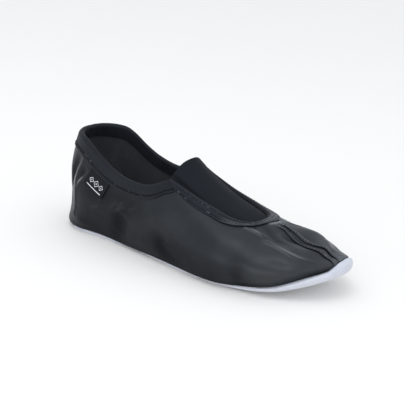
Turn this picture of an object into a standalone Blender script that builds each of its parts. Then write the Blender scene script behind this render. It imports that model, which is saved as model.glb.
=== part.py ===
# Gymnastics slipper for the right foot: a soft leather upper on a thin suede outsole, with an elastic
# gusset over the instep, a bound collar and throat, two pin tucks on the vamp and a woven side label.
# +X runs from heel to toe, +Y to the medial side, +Z up. The origin is on the floor, under the middle of
# the shoe. Every piece is cut from one form, the last, at its own depth below the upper's outside.

import math
from collections import namedtuple
from functools import lru_cache

import bmesh
import bpy
import numpy as np

MM = 0.001
LATERAL = -1
MEDIAL = 1

# Driving dimensions of the form
SHOE_LENGTH = 240 * MM
ORIGIN_AHEAD = 121 * MM         # from the back of the heel to the origin
ORIGIN_ACROSS = 1.6 * MM        # from the line of the heel to the origin
HEEL_ROUND = 34 * MM            # length over which the heel closes
TOE_ROUND = 50 * MM             # length over which the toe closes
HEEL_POWER = 2.3
TOE_POWER = 2.0
FLAT_SHARE = 0.79               # share of the width that lies flat on the floor
HEEL_TUCK = 4 * MM              # how far the sole starts inside the back of the heel
TOE_TUCK = 6 * MM
HEEL_LEAN_LENGTH = 70 * MM      # the heel's lean fades out over this length
HEEL_LEAN_FADE = 1.5

# Materials of the pieces
LEATHER = 1.5 * MM
SOLE_THICKNESS = 2.2 * MM
INSOLE_THICKNESS = 1.2 * MM
ELASTIC = 1.1 * MM
GAP = 0.35 * MM

# Edges and trims
SEAM_TUCK = 1.3 * MM            # the leather turns in where it is sewn to the sole
SOLE_PROUD = 1.5 * MM           # the sole's rim stands out this far in front of the toe
COLLAR_INNER_BAND = 9 * MM
TAPE = 0.85 * MM
ROLL_REACH = 0.75               # shoulder of the folded edge, in shares of the tape and its gap
ROLL_DROP = 0.5
THROAT_START = 110 * MM         # the collar ends and the throat begins
THROAT_ROUND_START = 150 * MM
THROAT_TIP = 177.4 * MM
THROAT_HALF_WIDTH = 20.2 * MM   # at the start of the round end
THROAT_POWER = 0.8              # below 1 the round end is squarer than an ellipse
GUSSET_LAP = 5 * MM             # the elastic reaches this far under the leather
GUSSET_BULGE = 1.1 * MM
GUSSET_HIDDEN = 0.3             # share of its half width that lies under the leather and tape
GUSSET_RISE = 0.4               # share of the bare half width over which the bulge rises
GUSSET_LEVEL = 0.85             # share of its length where the bulge has died away
GUSSET_FADE = 0.4               # share of its length over which it does
GUSSET_BLUNT = 0.97             # share of the throat where the elastic is cut off square
GUSSET_HEM_REACH = 0.5          # share of the throat over which the free edge's curve dies away
TUCK_START = 184.5 * MM
TUCK_END = 232 * MM
TUCK_SPACING = 9 * MM
TUCK_WIDTH = 2.6 * MM
TUCK_HEIGHT = 1.2 * MM
LABEL_START = 39.5 * MM
LABEL_WIDTH = 19 * MM
LABEL_DROP = 13.3 * MM
LABEL_SLANT = 7 * MM
LABEL_THICKNESS = 0.7 * MM
LEATHER_TIP = 0.985             # share of the length where the upper comes to its point
SOLE_CLOSE = 0.9865             # past this share the sole's two rims meet over the toe
PROUD_POWER = 1.6               # how late the rim starts to stand out

# Cross sections of the last: share of the length, then millimetres, with the fullness of the instep as
# the power of its curve. Crest at the heel is that of the ankle, above the collar.
Section = namedtuple("Section", "along lateral medial middle girdle crest fullness floor arch")
LAST = (
    Section(0.00, 29.0, 30.0, 0.5, 14.0, 150.0, 1.70, 0.0, 0.0),
    Section(0.10, 30.2, 31.0, 0.5, 18.0, 150.0, 1.70, 0.0, 0.0),
    Section(0.22, 30.4, 31.0, 0.8, 23.0, 140.0, 1.70, 0.0, 0.6),
    Section(0.34, 33.0, 31.0, 0.8, 25.0, 107.0, 1.70, 0.3, 3.0),
    Section(0.45, 37.3, 33.0, 1.0, 24.0, 79.0, 1.73, 0.3, 2.6),
    Section(0.56, 41.3, 37.5, 1.0, 20.7, 60.0, 1.77, 0.0, 0.0),
    Section(0.66, 43.2, 41.5, 1.4, 18.6, 48.6, 1.87, 0.0, 0.0),
    Section(0.76, 42.0, 41.7, 2.8, 17.7, 41.0, 1.93, 1.5, 0.0),
    Section(0.86, 39.2, 40.8, 4.8, 17.8, 36.0, 2.00, 5.0, 0.0),
    Section(0.90, 37.6, 39.6, 6.0, 18.5, 33.0, 2.00, 7.8, 0.0),
    Section(0.94, 36.0, 38.4, 7.3, 19.5, 28.2, 2.00, 11.0, 0.0),
    Section(1.00, 34.0, 38.0, 9.2, 21.8, 26.6, 2.00, 17.0, 0.0),
)

# How far the back of the heel leans in, by height (millimetres)
Lean = namedtuple("Lean", "height inset")
HEEL_LEAN = (
    Lean(0, -1.5), Lean(4, -1.4), Lean(8, 0.2), Lean(11, 2.0), Lean(14, 2.9), Lean(18, 3.9), Lean(23, 4.4),
    Lean(30, 4.4), Lean(38, 3.3), Lean(48, 2.7), Lean(62, 4.6), Lean(70, 7.7), Lean(80, 12),
)

# Height of the leather's collar edge, by distance from the heel (millimetres)
Edge = namedtuple("Edge", "ahead height")
COLLAR_EDGE = (
    Edge(0, 79), Edge(21, 76.5), Edge(33, 72), Edge(47, 64.2), Edge(60, 58.3),
    Edge(76, 54.7), Edge(88, 54), Edge(97, 55.4), Edge(106, 59), Edge(110, 61),
)

# Where the leather meets the sole: angle round the section, by share of the length
Feather = namedtuple("Feather", "along turn")
FEATHER = (
    Feather(0.00, -80), Feather(0.05, -77), Feather(0.10, -70), Feather(0.16, -67), Feather(0.23, -71),
    Feather(0.30, -86), Feather(0.36, -88), Feather(0.42, -80), Feather(0.50, -73), Feather(0.58, -72),
    Feather(0.65, -74), Feather(0.69, -72), Feather(0.73, -66), Feather(0.80, -54), Feather(0.85, -46),
    Feather(0.90, -29), Feather(0.94, -8), Feather(0.96, 3), Feather(0.971, 11), Feather(0.977, 18),
    Feather(0.981, 33), Feather(LEATHER_TIP, 90),
)

# Width of the collar band below the leather's edge, by distance from the heel (millimetres)
Band = namedtuple("Band", "ahead width")
COLLAR_BAND = (
    Band(0, 10.4), Band(30, 10.6), Band(60, 10.5), Band(75, 9.8), Band(86, 9.3), Band(95, 9.1),
    Band(104, 8.0), Band(110, 6.0),
)

# Width of the throat tape (millimetres), by share of the way from the collar to the throat's tip
Tape = namedtuple("Tape", "share width")
THROAT_BAND = {
    LATERAL: (
        Tape(0.00, 2.6), Tape(0.05, 3.1), Tape(0.11, 4.0), Tape(0.18, 4.8), Tape(0.26, 5.6), Tape(0.38, 6.0),
        Tape(0.50, 4.9), Tape(0.60, 3.5), Tape(0.70, 2.8), Tape(0.80, 2.4), Tape(0.90, 2.4), Tape(0.95, 2.7),
        Tape(1.00, 3.4),
    ),
    MEDIAL: (
        Tape(0.00, 2.6), Tape(0.05, 3.1), Tape(0.11, 4.0), Tape(0.18, 4.8), Tape(0.26, 5.6), Tape(0.38, 6.0),
        Tape(0.50, 5.8), Tape(0.60, 5.6), Tape(0.70, 5.8), Tape(0.80, 5.7), Tape(0.90, 5.2), Tape(0.95, 4.5),
        Tape(1.00, 3.4),
    ),
}

# How far the elastic's free edge lies ahead (millimetres), by share of its half width from the lap in
Hem = namedtuple("Hem", "inward shift")
GUSSET_HEM = (
    Hem(0.00, -0.5), Hem(0.20, -0.6), Hem(0.30, -1.1), Hem(0.39, -1.35), Hem(0.53, -0.4), Hem(0.68, 0.45),
    Hem(0.85, 1.4), Hem(1.00, 1.8),
)

# How far each tuck wanders from its straight line towards the medial side, by distance from the heel
# (millimetres)
Sway = namedtuple("Sway", "ahead shift")
TUCK_SWAY = {
    LATERAL: (
        Sway(183, 5.7), Sway(187, 5.7), Sway(192, 5.5), Sway(198, 3.7), Sway(203, 1.8), Sway(208, -0.4),
        Sway(213, -1.8), Sway(217, -1.4), Sway(221, 0.1), Sway(225, 0.7), Sway(229, 0.1), Sway(234, -3.5),
    ),
    MEDIAL: (
        Sway(183, 2.1), Sway(187, 2.1), Sway(191, 1.7), Sway(195, 0.4), Sway(199, -0.6), Sway(204, -2.1),
        Sway(208, -3.0), Sway(212, -3.8), Sway(215, -3.6), Sway(218.5, -2.1), Sway(222, 0.3), Sway(226, 1.1),
        Sway(230, -0.3), Sway(234, -5.0),
    ),
}

# Numbers of facets
HEEL_STEPS = 7
QUARTER_STEPS = 8
THROAT_STEPS = 4
THROAT_ROUND_STEPS = 7
VAMP_STEPS = 2
TOE_STEPS = 9
TIP_STATIONS = (0.963, 0.9765, 0.979, 0.981, 0.9825, 0.984, LEATHER_TIP)  # where the seam sweeps over the toe
GIRTH_STEPS = 12
GIRTH_CROWD = 1.3
RIM_STEPS = 3
RIM_TURN = 4                    # least angle of the sole's rounded rim
INSOLE_SETBACK = 8              # angle from the sole seam in to the insole's edge
BOTTOM_STEPS = 4
GUSSET_STEPS = 7
TUCK_STEPS = 14
TUCK_SIDES = 6
LABEL_STEPS = 5
BAND_STEPS = 3
FINE_STEPS = 40
SHARP_ANGLE = 40                # degrees from which an edge is shaded sharp

Fold = namedtuple("Fold", "below depth")
Finish = namedtuple("Finish", "colour roughness")
BLACK_LEATHER = Finish((0.022, 0.024, 0.027), 0.42)
BLACK_ELASTIC = Finish((0.013, 0.014, 0.017), 0.85)
BLACK_TAPE = Finish((0.020, 0.021, 0.024), 0.65)
PALE_SUEDE = Finish((0.56, 0.58, 0.65), 0.92)
GREY_FELT = Finish((0.16, 0.16, 0.17), 0.95)
WOVEN_LABEL = Finish((0.010, 0.011, 0.013), 0.7)


def smooth(knots, place):
    """Monotone cubic curve through a table of (place, value) pairs."""
    place = min(max(place, knots[0][0]), knots[-1][0])
    spans = [(b[0] - a[0], (b[1] - a[1]) / (b[0] - a[0])) for a, b in zip(knots, knots[1:])]
    slopes = [spans[0][1]]
    for (width_a, rise_a), (width_b, rise_b) in zip(spans, spans[1:]):
        if rise_a * rise_b <= 0:
            slopes.append(0.0)
        else:
            weight_a = 2 * width_b + width_a
            weight_b = width_b + 2 * width_a
            slopes.append((weight_a + weight_b) / (weight_a / rise_a + weight_b / rise_b))
    slopes.append(spans[-1][1])
    index = max(i for i in range(len(spans)) if i == 0 or knots[i][0] <= place)
    width = spans[index][0]
    t = (place - knots[index][0]) / width
    start, end = knots[index][1], knots[index + 1][1]
    return ((1 + 2 * t) * (1 - t) ** 2 * start + t * t * (3 - 2 * t) * end
            + width * t * (1 - t) * ((1 - t) * slopes[index] - t * slopes[index + 1]))


def ease(share):
    """Smooth step from 0 to 1."""
    share = min(max(share, 0.0), 1.0)
    return share * share * (3 - 2 * share)


@lru_cache(maxsize=None)
def last_section(along):
    """The last's section at a share of the length, in metres."""
    values = {"along": along}
    for column in Section._fields[1:]:
        value = smooth([(row.along, getattr(row, column)) for row in LAST], along)
        values[column] = value if column == "fullness" else value * MM
    return Section(**values)


def end_rounds(along):
    """How far the heel and the toe have closed at this place, each from 0 to 1."""
    ahead = along * SHOE_LENGTH
    return max(0.0, 1 - ahead / HEEL_ROUND), max(0.0, 1 - (SHOE_LENGTH - ahead) / TOE_ROUND)


def half_width(along, side, depth=0.0):
    section = last_section(along)
    heel, toe = end_rounds(along)
    half = (section.lateral if side == LATERAL else section.medial) - depth
    return half * (1 - heel ** HEEL_POWER) ** (1 / HEEL_POWER) * (1 - toe ** TOE_POWER) ** (1 / TOE_POWER)


def last_point(along, turn, side, depth=0.0):
    """A point of the form.

    along runs from 0 at the heel to 1 at the toe. turn is the angle round the section in degrees: 90 on
    the crest, 0 at the widest level, -90 at the edge of the flat bottom and -180 at its middle. depth goes
    inwards from the outside of the upper.
    """
    section = last_section(along)
    heel, toe = end_rounds(along)
    half = half_width(along, side, depth)
    if turn >= 0:
        swing = math.radians(turn)
        power = 2 / section.fullness
        across = half * max(math.cos(swing), 0.0) ** power
        up = section.girdle + (section.crest - depth - section.girdle) * math.sin(swing) ** power
        under = 0.0
    else:
        swing = math.radians(max(turn, -90))
        reach = min(1.0, 2 + turn / 90)
        across = half * (FLAT_SHARE + (1 - FLAT_SHARE) * math.cos(swing)) * reach
        lift = section.arch * reach ** 2 if side == MEDIAL else 0.0
        up = section.girdle + (section.girdle - section.floor - lift - depth) * math.sin(swing)
        under = 1 - math.cos(swing)
    ahead = depth + (SHOE_LENGTH - 2 * depth) * along
    lean = smooth(HEEL_LEAN, up / MM) * MM
    ahead += lean * max(0.0, 1 - along * SHOE_LENGTH / HEEL_LEAN_LENGTH) ** HEEL_LEAN_FADE
    ahead += under * (HEEL_TUCK * heel ** 2 - TOE_TUCK * toe ** 2)
    return (ahead - ORIGIN_AHEAD, section.middle + side * across - ORIGIN_ACROSS, up)


def turn_at_height(along, height):
    section = last_section(along)
    share = (height - section.girdle) / (section.crest - section.girdle)
    return math.degrees(math.asin(min(share, 1.0) ** (section.fullness / 2)))


def turn_at_width(along, side, width):
    share = min(max(width / half_width(along, side), 0.0), 1.0)
    return math.degrees(math.acos(share ** (last_section(along).fullness / 2)))


def turn_for(along, turn, side, distance):
    """Angle round the section that covers a distance along it."""
    half_step = 0.5
    before = last_point(along, turn - half_step, side)
    after = last_point(along, turn + half_step, side)
    return distance / math.dist(before, after)


def even_turns(along, side, bottom, top, steps):
    """Angles that divide the section into lengths that grow a little from bottom to top."""
    fine = np.linspace(bottom, top, FINE_STEPS + 1)
    points = np.array([last_point(along, turn, side) for turn in fine])
    lengths = np.linalg.norm(np.diff(points, axis=0), axis=1)
    run = np.concatenate([[0.0], np.cumsum(lengths)])
    return np.interp(run[-1] * np.linspace(0, 1, steps + 1) ** GIRTH_CROWD, run, fine)


def collar_turn(along, side, below):
    """Angle of a line that runs at a distance below the leather's collar edge."""
    step = 5 * MM
    ahead = along * SHOE_LENGTH
    rise = (smooth(COLLAR_EDGE, (ahead + step) / MM) - smooth(COLLAR_EDGE, (ahead - step) / MM)) * MM
    stretch = math.hypot(1, rise / (2 * step))
    return turn_at_height(along, smooth(COLLAR_EDGE, ahead / MM) * MM - below * stretch)


def throat_place(share, side, grow=0.0):
    """Place along and angle of the throat's edge, for a share from 0 at the collar to 1 at the tip.

    grow moves the line outwards into the leather.
    """
    start_along = THROAT_START / SHOE_LENGTH
    start_turn = math.radians(collar_turn(start_along, side, 0.0))
    start_power = 2 / last_section(start_along).fullness
    start_width = half_width(start_along, side) * math.cos(start_turn) ** start_power
    straight_share = THROAT_STEPS / (THROAT_STEPS + THROAT_ROUND_STEPS)
    if share <= straight_share:
        part = share / straight_share
        ahead = THROAT_START + (THROAT_ROUND_START - THROAT_START) * part
        width = start_width + (THROAT_HALF_WIDTH - start_width) * part + grow
    else:
        swing = (share - straight_share) / (1 - straight_share) * math.pi / 2
        onward = math.sin(swing) ** THROAT_POWER
        inward = max(math.cos(swing), 0.0) ** THROAT_POWER
        ahead = THROAT_ROUND_START + (THROAT_TIP - THROAT_ROUND_START + grow) * onward
        width = (THROAT_HALF_WIDTH + grow) * inward
    along = ahead / SHOE_LENGTH
    return along, turn_at_width(along, side, width)


def form_stations():
    """Shares of the length, closer together where the form turns.

    The throat's tip and the leather's are among them. Past the leather's tip there is only the sole.
    """
    heel = [HEEL_ROUND * (1 - math.cos(math.pi / 2 * i / HEEL_STEPS)) for i in range(HEEL_STEPS)]
    quarter = [HEEL_ROUND + (THROAT_START - HEEL_ROUND) * i / QUARTER_STEPS for i in range(QUARTER_STEPS)]
    throat_count = THROAT_STEPS + THROAT_ROUND_STEPS
    throat = [throat_place(i / throat_count, LATERAL)[0] * SHOE_LENGTH for i in range(throat_count)]
    toe_start = SHOE_LENGTH - TOE_ROUND
    vamp = [THROAT_TIP + (toe_start - THROAT_TIP) * i / VAMP_STEPS for i in range(VAMP_STEPS)]
    toe = [toe_start + TOE_ROUND * math.sin(math.pi / 2 * i / TOE_STEPS) for i in range(TOE_STEPS + 1)]
    stations = [ahead / SHOE_LENGTH for ahead in heel + quarter + throat + vamp + toe]
    return sorted(stations + list(TIP_STATIONS))


STATIONS = form_stations()
UPPER_STATIONS = [along for along in STATIONS if along <= LEATHER_TIP]
TIP_INDEX = HEEL_STEPS + QUARTER_STEPS + THROAT_STEPS + THROAT_ROUND_STEPS


def leather_top(index, side):
    """Angle of the upper's top edge at a station."""
    first_throat = HEEL_STEPS + QUARTER_STEPS
    if index < first_throat:
        return collar_turn(STATIONS[index], side, 0.0)
    if index < TIP_INDEX:
        return throat_place((index - first_throat) / (THROAT_STEPS + THROAT_ROUND_STEPS), side)[1]
    return 90.0


def feather_turn(along, side, offset):
    """Angle of the seam between leather and sole, moved up or down by a distance.

    Over the toe the seam runs across the shoe, so there it moves forwards or back.
    """
    seam = smooth(FEATHER, along + offset / SHOE_LENGTH)
    return min(seam + turn_for(along, seam, side, offset), 90.0)


def collar_band(ahead):
    """Width of the collar band at a distance from the heel."""
    return smooth(COLLAR_BAND, ahead / MM) * MM


def folded_tape(outer_band, inner_band):
    """Cross section of a tape folded over the leather's edge.

    Each Fold is a distance below that edge and a depth. The tape covers outer_band outside the shoe and
    inner_band inside it. With no inner_band it stops at the leather's inner face.
    """
    shares = [step / BAND_STEPS for step in range(BAND_STEPS + 1)]
    ridge = GAP + TAPE
    shoulder = ROLL_REACH * ridge
    drop = ROLL_DROP * ridge
    section = [Fold(outer_band * (1 - share), -ridge) for share in shares]
    section += [Fold(-shoulder, -drop), Fold(-ridge, LEATHER / 2)]
    if inner_band:
        section.append(Fold(-shoulder, LEATHER + drop))
        section += [Fold(inner_band * share, LEATHER + ridge) for share in shares]
        section += [Fold(inner_band * (1 - share), LEATHER + GAP) for share in shares[:-1]]
        section.append(Fold(-GAP, LEATHER + GAP))
    else:
        section += [Fold(-ridge, LEATHER), Fold(-GAP, LEATHER)]
    section.append(Fold(-GAP, -GAP))
    section += [Fold(outer_band * share, -GAP) for share in shares[1:]]
    return section


def add_grid(mesh, rows):
    """Faces between neighbouring rows of points."""
    verts = [[mesh.verts.new(point) for point in row] for row in rows]
    for near, far in zip(verts, verts[1:]):
        for quad in zip(near, near[1:], far[1:], far):
            mesh.faces.new(quad)


def add_slab(mesh, outer, inner, end_walls=True):
    """A closed plate between two grids of points. Rows that close on themselves need no end walls."""
    add_grid(mesh, outer)
    add_grid(mesh, inner)
    if end_walls:
        add_grid(mesh, [outer[0], inner[0]])
        add_grid(mesh, [outer[-1], inner[-1]])
    add_grid(mesh, [[row[0] for row in outer], [row[0] for row in inner]])
    add_grid(mesh, [[row[-1] for row in outer], [row[-1] for row in inner]])


def add_sweep(mesh, loops):
    """A closed bar through a row of closed sections."""
    add_grid(mesh, [list(loop) + [loop[0]] for loop in loops])
    for loop in (loops[0], loops[-1]):
        mesh.faces.new([mesh.verts.new(point) for point in loop])


def make_piece(name, mesh, finish):
    """Turns a mesh into a named object with its own material."""
    weld = 0.001 * MM
    bmesh.ops.remove_doubles(mesh, verts=mesh.verts, dist=weld)
    bmesh.ops.dissolve_degenerate(mesh, edges=mesh.edges, dist=weld)
    bmesh.ops.triangulate(mesh, faces=mesh.faces)
    bmesh.ops.recalc_face_normals(mesh, faces=mesh.faces)
    data = bpy.data.meshes.new(name)
    mesh.to_mesh(data)
    mesh.free()
    data.shade_smooth()
    data.set_sharp_from_angle(angle=math.radians(SHARP_ANGLE))
    material = bpy.data.materials.new(name)
    material.use_nodes = True
    shader = material.node_tree.nodes["Principled BSDF"]
    shader.inputs["Base Color"].default_value = (*finish.colour, 1.0)
    shader.inputs["Roughness"].default_value = finish.roughness
    shader.inputs["Metallic"].default_value = 0.0
    data.materials.append(material)
    piece = bpy.data.objects.new(name, data)
    bpy.context.scene.collection.objects.link(piece)
    return piece


def upper_rows(side, depth):
    rows = []
    for index, along in enumerate(UPPER_STATIONS):
        bottom = feather_turn(along, side, GAP / 2)
        turns = even_turns(along, side, bottom, leather_top(index, side), GIRTH_STEPS)
        tucks = [SEAM_TUCK, SEAM_TUCK / 4] + [0.0] * (GIRTH_STEPS - 1)
        rows.append([last_point(along, turn, side, depth + tuck) for turn, tuck in zip(turns, tucks)])
    return rows


def make_upper():
    mesh = bmesh.new()
    for side in (LATERAL, MEDIAL):
        outer = upper_rows(side, 0.0)
        inner = upper_rows(side, LEATHER)
        add_grid(mesh, outer)
        add_grid(mesh, inner)
        add_grid(mesh, [[row[0] for row in outer], [row[0] for row in inner]])
        open_edge = slice(0, TIP_INDEX + 1)
        add_grid(mesh, [[row[-1] for row in outer[open_edge]], [row[-1] for row in inner[open_edge]]])
    return make_piece("upper", mesh, BLACK_LEATHER)


def sole_half(along, side, depth, proud, turned_in):
    """Points of the sole from its rim to the middle line."""
    rim = feather_turn(along, side, -GAP / 2) if along < SOLE_CLOSE else 90.0
    corner = min(rim - RIM_TURN, -90)
    turns = [rim + (corner - rim) * step / RIM_STEPS for step in range(RIM_STEPS)]
    turns += [corner + (-180 - corner) * step / BOTTOM_STEPS for step in range(BOTTOM_STEPS + 1)]
    points = []
    for index, turn in enumerate(turns):
        pushed_out = proud * math.cos(math.radians(max(turn, -90)))
        edge_depth = turned_in if index == 0 else 0.0
        points.append(last_point(along, turn, side, depth + edge_depth - pushed_out))
    return points


def sole_row(along, depth, proud=0.0, turned_in=0.0):
    """Points across the sole, from the lateral rim under the foot to the medial rim."""
    lateral = sole_half(along, LATERAL, depth, proud, turned_in)
    medial = sole_half(along, MEDIAL, depth, proud, turned_in)
    return lateral + medial[-2::-1]


def make_outsole():
    mesh = bmesh.new()
    outer = []
    inner = []
    for along in STATIONS:
        turned_in = SEAM_TUCK / 2 if along < SOLE_CLOSE else 0.0
        outer.append(sole_row(along, 0.0, SOLE_PROUD * end_rounds(along)[1] ** PROUD_POWER, turned_in))
        inner.append(sole_row(along, SOLE_THICKNESS))
    add_grid(mesh, outer)
    add_grid(mesh, inner)
    rim_rows = sum(along < SOLE_CLOSE for along in STATIONS) + 1
    for edge in (0, -1):
        add_grid(mesh, [[row[edge] for row in outer[:rim_rows]], [row[edge] for row in inner[:rim_rows]]])
    return make_piece("outsole", mesh, PALE_SUEDE)


def insole_row(along, depth):
    """Points across the insole, which stops short of the leather that is turned under."""
    edge = min(smooth(FEATHER, along) - INSOLE_SETBACK, -90)
    row = []
    for step in range(-BOTTOM_STEPS, BOTTOM_STEPS + 1):
        turn = -180 + (edge + 180) * abs(step) / BOTTOM_STEPS
        row.append(last_point(along, turn, MEDIAL if step > 0 else LATERAL, depth))
    return row


def make_insole():
    mesh = bmesh.new()
    bottom = SOLE_THICKNESS + GAP
    add_slab(mesh, [insole_row(along, bottom) for along in STATIONS],
             [insole_row(along, bottom + INSOLE_THICKNESS) for along in STATIONS], end_walls=False)
    return make_piece("insole", mesh, GREY_FELT)


def gusset_row(share, thickness):
    """Points across the elastic, from its lateral edge over the instep to its medial edge."""
    row = []
    laid_depth = LEATHER + GAP + GAP / 2
    near_free_edge = max(0.0, 1 - share / GUSSET_HEM_REACH) ** 2
    for side in (LATERAL, MEDIAL):
        along, edge = throat_place(share, side, GUSSET_LAP)
        half = []
        for step in range(GUSSET_STEPS + 1):
            inward = step / GUSSET_STEPS
            bare = max(0.0, (inward - GUSSET_HIDDEN) / (1 - GUSSET_HIDDEN))
            shift = smooth(GUSSET_HEM, inward) * MM * near_free_edge
            place = along + shift / SHOE_LENGTH
            raised = GUSSET_BULGE * ease(bare / GUSSET_RISE) * ease((GUSSET_LEVEL - share) / GUSSET_FADE)
            turn = edge + (90 - edge) * inward
            half.append(last_point(place, turn, side, laid_depth - raised + thickness))
        row += half if side == LATERAL else half[-2::-1]
    return row


def make_gusset():
    mesh = bmesh.new()
    count = THROAT_STEPS + THROAT_ROUND_STEPS
    shares = [GAP / (THROAT_ROUND_START - THROAT_START)]
    shares += [GUSSET_BLUNT * i / count for i in range(1, count + 1)]
    outer = [gusset_row(share, 0.0) for share in shares]
    inner = [gusset_row(share, ELASTIC) for share in shares]
    add_slab(mesh, outer, inner)
    return make_piece("elastic_gusset", mesh, BLACK_ELASTIC)


def make_collar_binding():
    mesh = bmesh.new()
    quarter = STATIONS[:HEEL_STEPS + QUARTER_STEPS]
    quarter.append((THROAT_START - GAP / 2) / SHOE_LENGTH)
    ring = [(along, LATERAL) for along in quarter[::-1]] + [(along, MEDIAL) for along in quarter[1:]]
    loops = []
    for along, side in ring:
        section = folded_tape(collar_band(along * SHOE_LENGTH), COLLAR_INNER_BAND)
        loop = []
        for fold in section:
            loop.append(last_point(along, collar_turn(along, side, fold.below), side, fold.depth))
        loops.append(loop)
    add_sweep(mesh, loops)
    return make_piece("collar_binding", mesh, BLACK_TAPE)


def make_throat_binding():
    mesh = bmesh.new()
    count = 2 * (THROAT_STEPS + THROAT_ROUND_STEPS)
    first = GAP / 2 / (THROAT_ROUND_START - THROAT_START)
    shares = [max(i / count, first) for i in range(count + 1)]
    ring = [(share, LATERAL) for share in shares] + [(share, MEDIAL) for share in shares[-2::-1]]
    loops = []
    for share, side in ring:
        loop = []
        for fold in folded_tape(smooth(THROAT_BAND[side], share) * MM, 0.0):
            along, turn = throat_place(share, side, fold.below)
            loop.append(last_point(along, turn, side, fold.depth))
        loops.append(loop)
    add_sweep(mesh, loops)
    return make_piece("throat_binding", mesh, BLACK_TAPE)


def vamp_point(along, across, depth):
    """A point on the vamp by its distance from the middle line, either side."""
    side = LATERAL if across < 0 else MEDIAL
    return last_point(along, turn_at_width(along, side, abs(across)), side, depth)


def make_tuck(name, side):
    """A narrow stitched pleat that stands up from the vamp."""
    mesh = bmesh.new()
    loops = []
    for step in range(TUCK_STEPS + 1):
        ahead = TUCK_START + (TUCK_END - TUCK_START) * step / TUCK_STEPS
        middle = side * TUCK_SPACING / 2 + smooth(TUCK_SWAY[side], ahead / MM) * MM
        loop = []
        for corner in range(TUCK_SIDES):
            swing = math.pi * corner / (TUCK_SIDES - 1)
            depth = -GAP - TUCK_HEIGHT * math.sin(swing)
            loop.append(vamp_point(ahead / SHOE_LENGTH, middle + TUCK_WIDTH / 2 * math.cos(swing), depth))
        loops.append(loop)
    add_sweep(mesh, loops)
    return make_piece(name, mesh, BLACK_LEATHER)


def label_row(drop, depth):
    row = []
    for step in range(LABEL_STEPS + 1):
        top_ahead = LABEL_START + LABEL_WIDTH * step / LABEL_STEPS
        top_turn = collar_turn(top_ahead / SHOE_LENGTH, LATERAL, collar_band(top_ahead) + GAP)
        top = last_point(top_ahead / SHOE_LENGTH, top_turn, LATERAL)[2]
        along = (top_ahead - LABEL_SLANT * drop) / SHOE_LENGTH
        row.append(last_point(along, turn_at_height(along, top - LABEL_DROP * drop), LATERAL, depth))
    return row


def make_label():
    mesh = bmesh.new()
    drops = [step / LABEL_STEPS for step in range(LABEL_STEPS + 1)]
    add_slab(mesh, [label_row(drop, -GAP - LABEL_THICKNESS) for drop in drops],
             [label_row(drop, -GAP) for drop in drops])
    return make_piece("side_label", mesh, WOVEN_LABEL)


def main():
    for item in list(bpy.data.objects):
        bpy.data.objects.remove(item, do_unlink=True)
    make_outsole()
    make_insole()
    make_upper()
    make_gusset()
    make_collar_binding()
    make_throat_binding()
    make_tuck("vamp_tuck_lateral", LATERAL)
    make_tuck("vamp_tuck_medial", MEDIAL)
    make_label()


main()
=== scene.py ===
import math

import bmesh
import bpy
import numpy as np
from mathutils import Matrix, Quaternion, Vector, noise


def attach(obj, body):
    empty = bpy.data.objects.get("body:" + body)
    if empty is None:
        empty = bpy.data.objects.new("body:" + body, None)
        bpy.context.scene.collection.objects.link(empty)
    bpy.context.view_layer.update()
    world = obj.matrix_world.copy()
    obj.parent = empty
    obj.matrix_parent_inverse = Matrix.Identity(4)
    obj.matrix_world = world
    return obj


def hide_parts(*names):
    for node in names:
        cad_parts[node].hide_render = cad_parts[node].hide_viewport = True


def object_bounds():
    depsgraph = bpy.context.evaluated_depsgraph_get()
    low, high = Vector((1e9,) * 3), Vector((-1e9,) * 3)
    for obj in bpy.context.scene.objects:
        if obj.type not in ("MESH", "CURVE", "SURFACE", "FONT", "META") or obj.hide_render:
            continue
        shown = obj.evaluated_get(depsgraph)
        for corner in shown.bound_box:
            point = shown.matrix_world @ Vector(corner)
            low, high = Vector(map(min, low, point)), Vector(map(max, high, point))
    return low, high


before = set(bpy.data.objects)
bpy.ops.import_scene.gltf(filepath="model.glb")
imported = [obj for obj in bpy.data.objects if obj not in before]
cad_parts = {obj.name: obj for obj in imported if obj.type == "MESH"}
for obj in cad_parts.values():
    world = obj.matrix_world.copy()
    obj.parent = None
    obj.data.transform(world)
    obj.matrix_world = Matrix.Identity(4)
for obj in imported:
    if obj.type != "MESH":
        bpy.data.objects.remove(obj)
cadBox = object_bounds()
lateral, medial = -1, 1
mm = 0.001
print("frame loaded:", sorted(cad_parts))

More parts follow.
